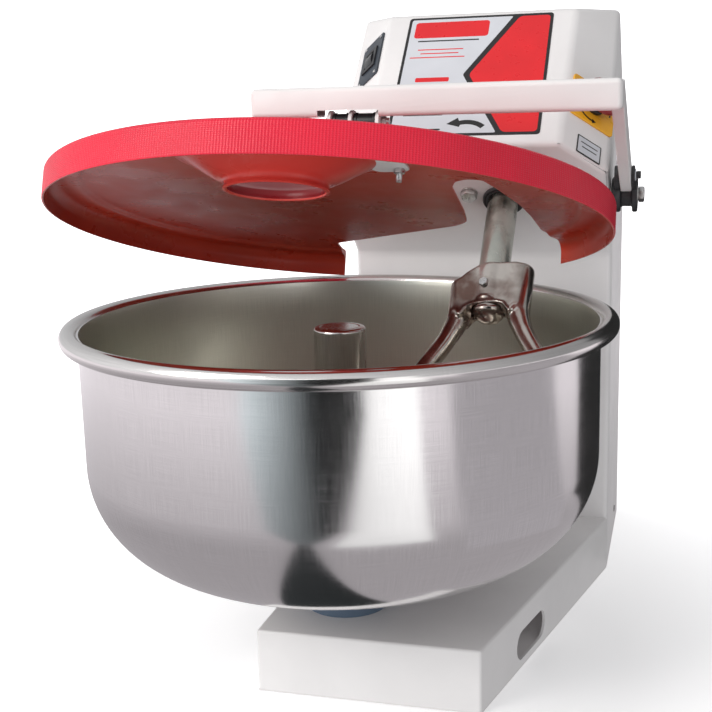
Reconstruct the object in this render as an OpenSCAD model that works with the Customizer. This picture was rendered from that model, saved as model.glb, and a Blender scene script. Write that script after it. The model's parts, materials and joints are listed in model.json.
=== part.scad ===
// Dough mixer with a turning bowl and an inclined two-pronged fork.
// Origin: the bowl's axis on the floor. +X to the machine's right, +Y to its column, +Z up. Millimetres.

/* [Bowl] */
// Outer radius of the bowl at its rolled rim
rim_r = 280; // [260:1:300]
// Height of the rolled rim's centre line
rim_z = 372; // [360:1:380]
// Radius of the rolled rim's tube
rim_tube = 9; // [6:0.5:10]
// Outer radius of the bowl's wall
wall_r = 262; // [255:0.5:265]
// Height of the bowl's outer bottom
bowl_z = 134; // [130:1:140]
// Radius of the bowl's rounded bottom edge
bowl_round = 108; // [80:1:110]
// Thickness of the bowl's sheet
bowl_t = 2; // [1.5:0.5:3]
// Radius of the centre post
post_r = 27; // [20:0.5:32]
// Height of the centre post's top
post_z = 366; // [340:1:370]

/* [Base and column] */
// Height of the base's top
base_h = 66.6; // [60:0.2:80]
// Front of the base
base_y0 = -90.6; // [-110:0.2:-80]
// Front of the column
col_y0 = 314.4; // [300:0.2:320]
// Back of the column
col_y1 = 545; // [540:1:560]
// Left side of the column
col_x0 = -67.5; // [-70:0.5:-60]
// Right side of the column
col_x1 = 253.2; // [240:0.2:260]
// Height of the head's flat top
head_z = 693; // [680:1:700]
// Sheet thickness of the column
sheet = 2; // [1.5:0.5:3]

/* [Fork] */
// Sideways position of the fork's axis
fork_x = 132.5; // [130:0.5:135]
// Radius of the fork shaft
shaft_r = 17.5; // [15:0.5:18]
// Turn of the fork at rest
fork_turn = -10; // [-90:1:90]
// Radius of each prong's bar
prong_r = 10; // [7:0.5:10]

/* [Lid] */
// Outer radius of the lid
lid_r = 277; // [270:1:279]
// Height of the lid's band
lid_h = 31; // [24:1:34]
// Angle by which the lid is open at rest
lid_open = 17.94; // [0:0.01:30]
// Distance of the lid arms' pivot behind the bowl's axis
pivot_y = 256; // [250:1:260]
// Height of the lid arms' pivot
pivot_z = 479; // [475:1:490]

/* [Drive] */
// Sideways position of the belt to the head
belt_a_x = 224; // [220:1:228]
// Sideways position of the belt to the lower gearbox
belt_b_x = 204; // [200:1:206]
// Working radius of the motor pulley
motor_pr = 35; // [30:1:38]
// Working radius of the head pulley
head_pr = 54; // [48:1:56]
// Working radius of the lower pulley
low_pr = 60; // [52:1:60]
// Teeth of the bowl sprocket
bowl_teeth = 26; // [22:1:28]
// Teeth of the drive sprocket
drive_teeth = 11; // [9:1:13]

/* [Hidden] */
$fn = 72;
e = 0.01;
run = 0.05;                     // running clearance of a shaft in its bearing
mid_x = (col_x0 + col_x1) / 2;
under_s = 716.7;                // Y + Z on the under-panel
front_d = 363.9;                // Z - Y on the front panel
rear_s = 1095;                  // Y + Z on the rear slope
q = sqrt(2);
ax_y = 241.8;                   // fork axis where it leaves the under-panel
ax_z = 474.9;
worm_c = 52.6;                  // centre distance of both worm drives
worm_up = 85;                   // worm height above the under-panel, along the fork axis
head_py = ax_y + (worm_up + worm_c) / q;
head_pz = ax_z + (worm_up - worm_c) / q;
motor_y = 440; motor_z = 262;
low_y = 400 + worm_c; low_z = 95;
pitch = 12.7;
bowl_sr = pitch / (2 * sin(180 / bowl_teeth));
drive_sr = pitch / (2 * sin(180 / drive_teeth));
ch_n = [0.6979, -0.5155, 0.4972];        // right chamfer's outward normal
ch_p = [203, 176.4, 540.3];              // right chamfer's lower front corner
ch_b = acos(ch_n[2]);
ch_a = atan2(ch_n[1], ch_n[0]);
ch_g = 144.573;                           // turns the chamfer frame's x along its edge
closed_dy = -2 - pivot_y; closed_dz = 383.2 - pivot_z;
lid_y = pivot_y + closed_dy * cos(lid_open) + closed_dz * sin(lid_open);
lid_z = pivot_z - closed_dy * sin(lid_open) + closed_dz * cos(lid_open);
bar_y = 28; bar_z = 590.5;
arm_t = atan2(bar_z - pivot_z, pivot_y - bar_y);
arm_l = norm([pivot_y - bar_y, bar_z - pivot_z]);
hinge_z = 570;

// ---------- shared shapes ----------
module along_x(x) { translate([x, 0, 0]) rotate([90, 0, 90]) children(); }
module at_fork() { translate([fork_x, ax_y, ax_z]) rotate([-45, 0, 0]) children(); }
module at_chamfer(u, v) {
    translate(ch_p) rotate([0, ch_b, ch_a]) rotate([0, 0, ch_g]) translate([u, v, 0]) children();
}
module left_side() { translate([2 * mid_x, 0, 0]) mirror([1, 0, 0]) children(); }
module at_lid() { translate([-2, lid_y, lid_z]) rotate([-lid_open, 0, 0]) children(); }
module ring(ro, ri, h) {
    difference() { cylinder(r = ro, h = h); translate([0, 0, -1]) cylinder(r = ri, h = h + 2); }
}
module rod_x(x0, x1, y, z, r) { translate([x0, y, z]) rotate([0, 90, 0]) cylinder(r = r, h = x1 - x0); }
module ring_x(x0, x1, y, z, ro, ri) {
    translate([x0, y, z]) rotate([0, 90, 0]) ring(ro, ri, x1 - x0);
}
// side profile of the column and head, inset by o
module profile(o) {
    s = under_s + q * o; d = front_d - q * o; t = rear_s - q * o;
    polygon([[col_y0 + o, -o], [col_y0 + o, s - col_y0 - o], [(s - d) / 2, (s + d) / 2],
        [head_z - o - d, head_z - o], [t - head_z + o, head_z - o], [col_y1 - o, t - col_y1 + o],
        [col_y1 - o, -o]]);
}
module chamfer_cut(o) {
    translate(ch_p) rotate([0, ch_b, ch_a]) translate([-500, -500, -o]) cube([1000, 1000, 500]);
}
module head_solid(o) {
    difference() {
        translate([col_x0 + o, 0, 0]) rotate([90, 0, 90]) linear_extrude(col_x1 - col_x0 - 2 * o) profile(o);
        chamfer_cut(o);
        left_side() chamfer_cut(o);
    }
}
module base_plan(o) {
    k = (col_x1 - 159.5) / (col_y0 - base_y0);
    polygon([[-71.7 + o, base_y0 + o], [159.5 + k * o - 1.027 * o, base_y0 + o],
        [col_x1 - 1.027 * o, col_y0], [col_x0 + o, col_y0]]);
}
module slot_bar(len, h, t) {
    translate([0, 0, -t / 2]) {
        translate([-len / 2 + h / 2, 0, 0]) cylinder(r = h / 2, h = t);
        translate([len / 2 - h / 2, 0, 0]) cylinder(r = h / 2, h = t);
        translate([-len / 2 + h / 2, -h / 2, 0]) cube([len - h, h, t]);
    }
}
// solid loop round two circles: radius r1 at the origin, r2 at [c, s]
module loop(r1, p2, r2, h) {
    d = norm(p2); a = atan2(p2[1], p2[0]); b = acos((r1 - r2) / d);
    cylinder(r = r1, h = h);
    translate([p2[0], p2[1], 0]) cylinder(r = r2, h = h);
    k1 = r1 - 0.15; k2 = r2 - 0.15;
    linear_extrude(h) polygon([[k1 * cos(a + b), k1 * sin(a + b)],
        [k1 * cos(a - b), k1 * sin(a - b)],
        [p2[0] + k2 * cos(a - b), p2[1] + k2 * sin(a - b)],
        [p2[0] + k2 * cos(a + b), p2[1] + k2 * sin(a + b)]]);
}
module belt(r1, p2, r2, w, t) {
    difference() {
        loop(r1 + t, p2, r2 + t, w);
        translate([0, 0, -1]) loop(r1, p2, r2, w + 2);
    }
}
module pulley(r, bore, xs, w) {
    // xs: groove centres from the pulley's face; grooves 10 wide
    difference() {
        ring(r + 7, bore, w);
        for (x = xs) translate([0, 0, x - 5]) ring(r + 9, r - 0.4, 10);
    }
}
module sprocket(n, r, h) {
    for (i = [0 : n - 1]) rotate([0, 0, i * 360 / n]) linear_extrude(h)
        polygon([[r - 6, -4.4], [r - 1, -3.4], [r + 3.6, -1.2], [r + 3.6, 1.2], [r - 1, 3.4], [r - 6, 4.4]]);
}
module gear(n, ri, ro, h) {
    s = 360 / n;
    linear_extrude(h) polygon([for (i = [0 : n - 1], k = [0 : 3])
        let (r = k == 1 || k == 2 ? ro : ri, a = s * (i + [0.08, 0.2, 0.55, 0.67][k])) [r * cos(a), r * sin(a)]]);
}
module hex_bolt(af, hh, r, len) {
    // head from 0 down to -hh, shank up
    translate([0, 0, -hh]) cylinder(r = af / sqrt(3), h = hh, $fn = 6);
    translate([0, 0, -e]) cylinder(r = r, h = len + e);
}

// ---------- base and column ----------
module bottom_plate() color([0.85, 0.84, 0.83]) {
    difference() {
        linear_extrude(2) base_plan(0);
        for (x = [-30, 80]) translate([x, 200, -1]) cylinder(r = 8, h = 4);
    }
    difference() {
        translate([col_x0 + sheet + 0.2, col_y0 + sheet + 0.2, 0])
            cube([col_x1 - col_x0 - 2 * sheet - 0.4, col_y1 - col_y0 - 2 * sheet - 0.4, 3]);
        for (x = [-40, 225], y = [340, 520]) translate([x, y, -1]) cylinder(r = 5, h = 6);
    }
}
module base_tray() color([0.93, 0.92, 0.91]) difference() {
    translate([0, 0, 2]) linear_extrude(base_h - 2) base_plan(0);
    translate([0, 0, -1]) linear_extrude(base_h - 2) base_plan(3);
    translate([-80, col_y0 - 1, -1]) cube([400, 10, 0.5]);
    translate([-60, col_y0 - 4, 2.5]) cube([120, 10, 58]);
    translate([0, 0, 50]) cylinder(r = 20, h = 30);
    for (a = [45 : 90 : 315]) rotate([0, 0, a]) translate([35, 0, 50]) cylinder(r = 4.2, h = 30);
    translate([191.3, 46, 25]) rotate([0, 0, 76.97]) rotate([90, 0, 0]) slot_bar(86, 32, 16);
    translate([-70, 46, 25]) rotate([0, 0, 90]) rotate([90, 0, 0]) slot_bar(86, 32, 16);
}
module column_shell() color([0.93, 0.92, 0.91]) difference() {
    head_solid(0);
    head_solid(sheet);
    translate([col_x0 + sheet, col_y0 + sheet, -5])
        cube([col_x1 - col_x0 - 2 * sheet, col_y1 - col_y0 - 2 * sheet, 40]);
    translate([-60, col_y0 - 5, 2.5]) cube([120, 20, 58]);
    translate([-45, col_y1 - 10, 40]) cube([276, 20, 480]);
    for (x = [-51, 237], z = [60, 280, 500]) translate([x, col_y1 - 10, z]) rotate([-90, 0, 0]) cylinder(r = 2.6, h = 20);
    at_fork() {
        translate([0, 0, -5]) cylinder(r = 19, h = 12);
        for (i = [0 : 3]) rotate([0, 0, 198.3 + 90 * i]) translate([41, 0, -5]) cylinder(r = 5.2, h = 12);
    }
    for (x = [col_x0 - 5, col_x1 - 5]) rod_x(x, x + 10, pivot_y, pivot_z, 6.1);
    at_chamfer(82, -38) translate([0, 0, -10]) cylinder(r = 11.2, h = 20);
    left_side() at_chamfer(156, -24) translate([-13, -10, -10]) cube([26, 20, 20]);
}
module rear_cover() color([0.9, 0.89, 0.88]) difference() {
    translate([-57, col_y1, 28]) cube([300, 1.5, 504]);
    for (x = [-51, 237], z = [60, 280, 500]) translate([x, col_y1 - 10, z]) rotate([-90, 0, 0]) cylinder(r = 2.6, h = 20);
    for (i = [0 : 8], x = [0, 110]) translate([x, col_y1 - 5, 200 + 14 * i]) cube([76, 10, 5]);
    translate([200, col_y1 - 5, 75]) rotate([-90, 0, 0]) cylinder(r = 10.2, h = 20);
}
module frame_screws() color([0.7, 0.71, 0.72]) {
    for (x = [-51, 237], z = [60, 280, 500]) translate([x, col_y1 + 1.5, z]) rotate([90, 0, 0]) {
        translate([0, 0, -2.6]) cylinder(r1 = 3.4, r2 = 4.8, h = 2.6);
        translate([0, 0, -e]) cylinder(r = 2.5, h = 10);
    }
    for (a = [45 : 90 : 315]) rotate([0, 0, a]) translate([35, 0, base_h - 3]) hex_bolt(10, 4, 3.2, 6.9);
}

// ---------- bowl and its spindle ----------
module bowl_pedestal() color([0.42, 0.47, 0.52]) translate([0, 0, base_h]) difference() {
    cylinder(r = 44.5, h = 112 - base_h);
    translate([0, 0, -1]) cylinder(r = 20, h = 80);
    translate([0, 0, -1]) cylinder(r = 31, h = 17.4);
    translate([0, 0, 96 - base_h]) cylinder(r = 31, h = 30);
    for (a = [45 : 90 : 315]) rotate([0, 0, a]) translate([35, 0, -1]) cylinder(r = 3.2, h = 5);
}
module bowl_bearings() color([0.72, 0.73, 0.75])
    for (z = [base_h + 0.1, 96]) translate([0, 0, z]) difference() {
        ring(31, 15 + run, 16);
        for (k = [-1, 15]) translate([0, 0, k]) ring(27, 19, 2);
    }
module bowl() color([0.78, 0.78, 0.77]) translate([0, 0, bowl_z + bowl_round])
    ring(wall_r, wall_r - bowl_t, rim_z - bowl_z - bowl_round);
module bowl_base() color([0.76, 0.76, 0.75]) {
    c = wall_r - bowl_round; zc = bowl_z + bowl_round;
    difference() {
        union() {
            translate([0, 0, bowl_z]) cylinder(r = c, h = bowl_round);
            translate([0, 0, zc]) rotate_extrude() translate([c, 0]) intersection() {
                circle(r = bowl_round); translate([0, -bowl_round]) square([bowl_round, bowl_round]);
            }
        }
        translate([0, 0, bowl_z + bowl_t]) cylinder(r = c, h = bowl_round);
        translate([0, 0, zc]) rotate_extrude() translate([c, 0]) intersection() {
            circle(r = bowl_round - bowl_t); translate([0, -bowl_round]) square([bowl_round, bowl_round]);
        }
        for (a = [0 : 60 : 300]) rotate([0, 0, a]) translate([55, 0, bowl_z - 5]) cylinder(r = 4.1, h = 20);
    }
}
module bowl_rim() color([0.8, 0.8, 0.79]) translate([0, 0, rim_z]) rotate_extrude()
    translate([rim_r - rim_tube, 0]) difference() { circle(r = rim_tube); circle(r = rim_tube - 1.6); }
module centre_post() color([0.8, 0.8, 0.79]) translate([0, 0, bowl_z + bowl_t]) {
    h = post_z - bowl_z - bowl_t;
    difference() {
        union() { cylinder(r = post_r, h = h - 3); cylinder(r = 68, h = 5); cylinder(r = post_r - 3, h = h);
            translate([0, 0, h - 3]) rotate_extrude() translate([post_r - 3, 0]) circle(r = 3); }
        translate([0, 0, -1]) cylinder(r = post_r - 4, h = h - 3);
        for (a = [0 : 60 : 300]) rotate([0, 0, a]) translate([55, 0, -1]) cylinder(r = 4, h = 5);
    }
}
module bowl_flange() color([0.6, 0.61, 0.62]) difference() {
    union() {
        translate([0, 0, 126]) cylinder(r = 75, h = bowl_z - 126);
        translate([0, 0, 114]) cylinder(r = 26, h = 14);
    }
    translate([0, 0, 110]) cylinder(r = 15, h = 40);
    for (a = [0 : 60 : 300]) rotate([0, 0, a]) translate([55, 0, 120]) cylinder(r = 4.1, h = 20);
}
module bowl_bolts() color([0.7, 0.71, 0.72])
    for (a = [0 : 60 : 300]) rotate([0, 0, a]) translate([55, 0, 126]) hex_bolt(13, 5.3, 4, 13.9);
module bowl_spindle() color([0.62, 0.63, 0.65]) translate([0, 0, 8]) cylinder(r = 15, h = bowl_z - 8);
module bowl_sprocket() color([0.45, 0.46, 0.48]) difference() {
    union() {
        translate([0, 0, 14]) cylinder(r = bowl_sr - 4, h = 5);
        translate([0, 0, 14]) rotate([0, 0, 180 / bowl_teeth]) sprocket(bowl_teeth, bowl_sr, 5);
        translate([0, 0, 14]) cylinder(r = 26, h = 22);
    }
    translate([0, 0, 5]) cylinder(r = 15, h = 40);
    for (a = [30 : 60 : 330]) rotate([0, 0, a]) translate([37, 0, 5]) cylinder(r = 6, h = 20);
}
module bowl_chain() color([0.35, 0.35, 0.36]) {
    d = [0, 400]; b = acos((bowl_sr - drive_sr) / 400);
    for (z = [11.6, 20.2]) translate([0, 0, z]) difference() {
        loop(bowl_sr + 5, d, drive_sr + 5, 1.4);
        translate([0, 0, -1]) loop(bowl_sr - 5, d, drive_sr - 5, 4);
    }
    for (m = [0, 1]) mirror([m, 0, 0]) for (i = [5 : 26]) {
        u = i * pitch; t = u / (400 * sin(b));
        translate([cos(90 - b) * (bowl_sr + (drive_sr - bowl_sr) * t),
            bowl_sr * sin(90 - b) + (400 + (drive_sr - bowl_sr) * sin(90 - b)) * t, 13 - e])
            cylinder(r = 3.9, h = 7.2 + 2 * e, $fn = 24);
    }
}
module drive_sprocket() color([0.45, 0.46, 0.48]) translate([0, 400, 0]) difference() {
    union() {
        translate([0, 0, 14]) cylinder(r = drive_sr - 4, h = 5);
        translate([0, 0, 14]) rotate([0, 0, 8]) sprocket(drive_teeth, drive_sr, 5);
        translate([0, 0, 14]) cylinder(r = 16, h = 20);
    }
    translate([0, 0, 5]) cylinder(r = 12.5, h = 40);
}

// ---------- lower gearbox ----------
module low_output_shaft() color([0.66, 0.62, 0.5]) translate([0, 400, 0]) {
    translate([0, 0, 10]) cylinder(r = 12.5, h = 132);
    translate([0, 0, 87]) gear(30, 34, 38, 16);
}
module low_gearbox() color([0.36, 0.42, 0.5]) difference() {
    union() {
        translate([-50, 355, 42]) cube([100, 125, 108]);
        for (x = [-42, 42], y = [363, 472]) translate([x, y, 3]) cylinder(r = 8, h = 40);
    }
    translate([-42, 361, 50]) cube([84, 111, 120]);
    translate([0, 400, 30]) cylinder(r = 26, h = 30);
    rod_x(-46, 60, low_y, low_z, 15);
}
module low_gearbox_cover() color([0.36, 0.42, 0.5]) difference() {
    union() {
        translate([-50, 355, 150]) cube([100, 125, 6]);
        translate([0, 400, 128]) cylinder(r = 32, h = 23);
    }
    translate([0, 400, 120]) cylinder(r = 26, h = 23.2);
    for (x = [-43, 43], y = [362, 473]) translate([x, y, 140]) cylinder(r = 2.5, h = 30);
}
module low_bearings() color([0.72, 0.73, 0.75]) {
    translate([0, 400, 42]) ring(26, 12.5 + run, 8);
    translate([0, 400, 128.2]) ring(26, 12.5 + run, 14.8);
    ring_x(-45.9, -42, low_y, low_z, 15, 10 + run);
    ring_x(42, 50, low_y, low_z, 15, 10 + run);
}
module low_worm_shaft() color([0.62, 0.63, 0.65]) {
    rod_x(-45.5, 214, low_y, low_z, 10);
    rod_x(-30, 30, low_y, low_z, 11);
    for (i = [0 : 8]) rod_x(-29 + 6.6 * i, -25 + 6.6 * i, low_y, low_z, 14);
}
module low_pulley() color([0.5, 0.51, 0.53]) translate([belt_b_x - 8, low_y, low_z]) rotate([90, 0, 90])
    difference() {
        pulley(low_pr, 10, [8], 16);
        for (a = [0 : 60 : 300]) rotate([0, 0, a]) translate([34, 0, -1]) cylinder(r = 10, h = 20);
    }
module low_belt() color([0.1, 0.1, 0.1]) translate([belt_b_x - 4.5, motor_y, motor_z]) rotate([90, 0, 90])
    belt(motor_pr, [low_y - motor_y, low_z - motor_z], low_pr, 9, 6);

// ---------- motor ----------
module motor_shelf() color([0.5, 0.51, 0.53]) difference() {
    union() {
        translate([col_x0 + sheet + 0.2, 372, 165]) cube([col_x1 - col_x0 - 2 * sheet - 0.4, 168, 5]);
        for (x = [col_x0 + sheet + 0.2, col_x1 - sheet - 3.2]) translate([x, 372, 140]) cube([3, 168, 28]);
    }
    translate([188, 366, 130]) cube([56, 160, 50]);
    for (x = [25, 105], y = [392, 488]) translate([x, y, 150]) cylinder(r = 4.2, h = 30);
}
module motor_housing() color([0.32, 0.38, 0.46]) difference() {
    union() {
        rod_x(-20, 150, motor_y, motor_z, 66);
        for (i = [0 : 23]) translate([0, motor_y, motor_z]) rotate([15 * i, 0, 0])
            translate([0, -1.5, 60]) cube([130, 3, 12]);
        translate([15, 380, 170]) cube([100, 120, 12]);
        for (x = [15, 103]) translate([x, 400, 181]) cube([12, 80, 30]);
    }
    rod_x(0, 132, motor_y, motor_z, 42);
    rod_x(-30, 160, motor_y, motor_z, 13.5);
    rod_x(-14, 10, motor_y, motor_z, 24);
    rod_x(120, 146, motor_y, motor_z, 24);
    for (x = [25, 105], y = [392, 488]) translate([x, y, 160]) cylinder(r = 4.2, h = 30);
}
module motor_fan_cover() color([0.25, 0.27, 0.3]) difference() {
    rod_x(-60, -20, motor_y, motor_z, 72);
    rod_x(-58, -10, motor_y, motor_z, 70);
    for (a = [0 : 30 : 330], r = [28, 48]) translate([0, motor_y, motor_z]) rotate([a, 0, 0])
        rod_x(-70, -50, 0, r, 5);
}
module motor_terminal_box() color([0.28, 0.3, 0.34]) difference() {
    translate([30, motor_y - 32, motor_z + 73]) cube([70, 64, 34]);
    translate([33, motor_y - 29, motor_z + 76]) cube([64, 58, 28]);
    translate([65, motor_y + 40, motor_z + 90]) rotate([90, 0, 0]) cylinder(r = 8, h = 20);
}
module motor_bearings() color([0.72, 0.73, 0.75]) {
    ring_x(-14, 0, motor_y, motor_z, 24, 12 + run);
    ring_x(132, 146, motor_y, motor_z, 24, 12 + run);
}
module motor_rotor() color([0.6, 0.6, 0.62]) {
    rod_x(-46, 234, motor_y, motor_z, 12);
    rod_x(20, 112, motor_y, motor_z, 40);
    difference() {
        rod_x(-44, -30, motor_y, motor_z, 24);
        rod_x(-50, -20, motor_y, motor_z, 11.9);
    }
    for (i = [0 : 7]) translate([0, motor_y, motor_z]) rotate([45 * i, 0, 0])
        translate([-44, -1.5, 22]) cube([14, 3, 38]);
}
module motor_pulley() color([0.5, 0.51, 0.53]) translate([belt_b_x - 9, motor_y, motor_z]) rotate([90, 0, 90])
    pulley(motor_pr, 12, [9, 9 + belt_a_x - belt_b_x], 38);

// ---------- head drive ----------
module head_belt() color([0.1, 0.1, 0.1]) translate([belt_a_x - 4.5, motor_y, motor_z]) rotate([90, 0, 90])
    belt(motor_pr, [head_py - motor_y, head_pz - motor_z], head_pr, 9, 6);
module head_pulley() color([0.5, 0.51, 0.53]) translate([belt_a_x - 8, head_py, head_pz]) rotate([90, 0, 90])
    difference() {
        pulley(head_pr, 10, [8], 16);
        for (a = [0 : 60 : 300]) rotate([0, 0, a]) translate([31, 0, -1]) cylinder(r = 9, h = 20);
    }
module head_worm_shaft() color([0.62, 0.63, 0.65]) {
    rod_x(fork_x - 45.5, belt_a_x + 9, head_py, head_pz, 10);
    rod_x(fork_x - 30, fork_x + 30, head_py, head_pz, 11);
    for (i = [0 : 8]) rod_x(fork_x - 29 + 6.6 * i, fork_x - 25 + 6.6 * i, head_py, head_pz, 14);
}
module head_gearbox() color([0.36, 0.42, 0.5]) at_fork() difference() {
    union() {
        translate([-50, -52, sheet + 0.05]) cube([100, 127, 116]);
    }
    difference() {
        translate([-42, -44, 12]) cube([84, 111, 140]);
        translate([0, 0, 10]) cylinder(r = 41.9, h = 20);
    }
    translate([0, 0, 12]) cylinder(r = 36, h = 30);
    translate([0, 0, -5]) cylinder(r = 18.5, h = 30);
    translate([-46, worm_c, worm_up]) rotate([0, 90, 0]) cylinder(r = 15, h = 120);
    for (i = [0 : 3]) rotate([0, 0, 198.3 + 90 * i]) translate([41, 0, -5]) cylinder(r = 5, h = 16);
}
module head_gearbox_cover() color([0.36, 0.42, 0.5]) at_fork() difference() {
    union() {
        translate([-50, -52, 118.1]) cube([100, 127, 8]);
        translate([0, 0, 118.1]) cylinder(r = 42, h = 22);
    }
    translate([0, 0, 110]) cylinder(r = 36, h = 25);
    for (x = [-43, 43], y = [-45, 68]) translate([x, y, 110]) cylinder(r = 2.5, h = 30);
}
module head_bearings() color([0.72, 0.73, 0.75]) {
    at_fork() {
        for (z = [12, 118.1]) translate([0, 0, z]) difference() {
            ring(36, shaft_r + run, 16.5);
            for (k = [-1, 15.5]) translate([0, 0, k]) ring(32, 22, 2);
        }
    }
    ring_x(fork_x - 45.9, fork_x - 42, head_py, head_pz, 15, 10 + run);
    ring_x(fork_x + 42, fork_x + 50, head_py, head_pz, 15, 10 + run);
}
module gearbox_bolts() color([0.7, 0.71, 0.72]) at_fork()
    for (i = [0 : 3]) rotate([0, 0, 198.3 + 90 * i]) translate([41, 0, 0]) {
        translate([0, 0, -2]) cylinder(r = 10, h = 2);
        translate([0, 0, -2]) hex_bolt(17, 6.4, 5, 12.9);
    }
module shaft_seal() color([0.07, 0.07, 0.07]) at_fork() translate([0, 0, -4]) difference() {
    ring(24, shaft_r + run, 4);
    translate([0, 0, -1]) ring(22, 20, 2);
}

// ---------- fork ----------
module fork_shaft() color([0.66, 0.65, 0.63]) at_fork() {
    translate([0, 0, -148]) cylinder(r = shaft_r, h = 280);
    translate([0, 0, -161]) cylinder(r = 8, h = 14);
    translate([0, 0, 77]) gear(30, 34, 38, 16);
}
module fork_yoke() color([0.66, 0.65, 0.63]) at_fork() rotate([0, 0, fork_turn]) difference() {
    union() {
        translate([0, 0, -150]) cylinder(r = 27, h = 42);
        translate([-44, -15, -158]) cube([88, 30, 42]);
        translate([0, 0, -158]) intersection() {
            translate([-38, -15, 0]) cube([76, 30, 60]);
            rotate([90, 0, 0]) translate([0, 0, -20]) cylinder(r = 50, h = 40);
        }
    }
    translate([0, 0, -148]) cylinder(r = shaft_r, h = 80);
    translate([0, 0, -168]) cylinder(r = 8, h = 40);
    translate([0, 0, -164]) cylinder(r = 22, h = 14);
    rotate([0, 0, -97]) translate([0, 0, -134]) rotate([0, 90, 0]) cylinder(r = 4, h = 40);
}
module fork_prongs() color([0.7, 0.69, 0.67]) at_fork() rotate([0, 0, fork_turn]) {
    pts = [[34, -158.05], [34, -169.5], [41, -188], [50, -206], [63, -227], [76, -249], [85, -274], [87, -304],
        [84, -338], [77, -370]];
    for (m = [0, 1]) mirror([m, 0, 0]) for (i = [0 : len(pts) - 2]) {
        a = pts[i]; b = pts[i + 1]; d = b - a; l = norm(d);
        translate([a[0], 0, a[1]]) rotate([0, atan2(d[0], d[1]), 0]) cylinder(r = prong_r, h = l);
        translate([b[0], 0, b[1]]) sphere(r = prong_r + 0.35);
    }
}
module fork_nut() color([0.72, 0.71, 0.7]) at_fork() difference() {
    union() {
        translate([0, 0, -161]) cylinder(r = 17, h = 11);
        translate([0, 0, -161]) intersection() {
            translate([0, 0, 12]) sphere(r = 20.8);
            translate([0, 0, -12]) cylinder(r = 17, h = 12);
        }
    }
    translate([0, 0, -161]) cylinder(r = 8, h = 20);
}
module fork_set_screw() color([0.6, 0.6, 0.6]) at_fork() rotate([0, 0, fork_turn - 97])
    translate([0, 0, -134]) rotate([0, 90, 0]) difference() {
        translate([0, 0, shaft_r]) cylinder(r = 4, h = 9.5 + 2);
        translate([0, 0, shaft_r + 9]) cylinder(r = 2.3, h = 8, $fn = 6);
    }

// ---------- labels and controls ----------
module front_label() color([0.8, 0.8, 0.82]) translate([93.5, 255.5, 255.5 + front_d]) rotate([45, 0, 0])
    translate([-87.3, -97.5, 0]) cube([174.6, 195, 0.6]);
module stop_plate() color([0.93, 0.68, 0.1]) at_chamfer(82, -38) difference() {
    translate([-30, -31, 0]) cube([60, 62, 2.5]);
    translate([0, 0, -5]) cylinder(r = 11.2, h = 20);
}
module stop_body() color([0.12, 0.12, 0.13]) at_chamfer(82, -38) difference() {
    union() {
        translate([0, 0, 2.5]) cylinder(r = 14, h = 5);
        translate([0, 0, -20]) cylinder(r = 11, h = 23);
        translate([-15, -15, -52]) cube([30, 30, 33]);
    }
    translate([0, 0, -14]) cylinder(r = 5 + run, h = 40);
}
module stop_button() color([0.72, 0.05, 0.06]) at_chamfer(82, -38) {
    translate([0, 0, -7]) cylinder(r = 5, h = 22);
    translate([0, 0, 12.5]) cylinder(r1 = 15, r2 = 20, h = 5);
    translate([0, 0, 17.5]) cylinder(r = 20, h = 5);
    translate([0, 0, 22.5]) cylinder(r1 = 20, r2 = 14, h = 3.5);
}
module rating_label() color([0.75, 0.76, 0.77]) at_chamfer(17, -40) translate([-12.5, -17, 0]) cube([25, 34, 0.6]);
module switch_plate() color([0.2, 0.22, 0.25]) left_side() at_chamfer(156, -24) difference() {
    translate([-35, -21, 0]) cube([70, 42, 2]);
    translate([-13, -10, -5]) cube([26, 20, 20]);
}
module switch_body() color([0.08, 0.08, 0.09]) left_side() at_chamfer(156, -24) difference() {
    union() {
        translate([-16, -13, 2]) cube([32, 26, 2]);
        translate([-12.8, -9.8, -26]) cube([25.6, 19.6, 29]);
    }
    translate([-11.5, -8, -10]) cube([23, 16, 30]);
    translate([0, 9, -1]) rotate([90, 0, 0]) cylinder(r = 1.6, h = 18);
}
module switch_rocker() color([0.05, 0.25, 0.1]) left_side() at_chamfer(156, -24) {
    intersection() {
        translate([-10, -7, -4]) cube([20, 14, 12]);
        translate([0, 8, -16]) rotate([90, 0, 0]) cylinder(r = 22, h = 16);
    }
    translate([0, 8.8, -1]) rotate([90, 0, 0]) cylinder(r = 1.5, h = 17.6);
}
module control_box() color([0.75, 0.76, 0.78]) difference() {
    translate([col_x0 + sheet + 0.2, 400, 400]) cube([60, 120, 150]);
    translate([col_x0 + sheet + 3.2, 403, 403]) cube([54, 114, 144]);
    translate([-20, 460, 390]) cylinder(r = 8, h = 20);
}
module cable_gland() color([0.12, 0.12, 0.12]) translate([200, col_y1 + 1.5, 75]) rotate([-90, 0, 0]) difference() {
    union() {
        cylinder(r = 14, h = 7, $fn = 6);
        translate([0, 0, 7]) cylinder(r = 10.5, h = 12);
        translate([0, 0, -12]) cylinder(r = 10, h = 13);
    }
    translate([0, 0, -20]) cylinder(r = 5.5, h = 50);
}

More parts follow.
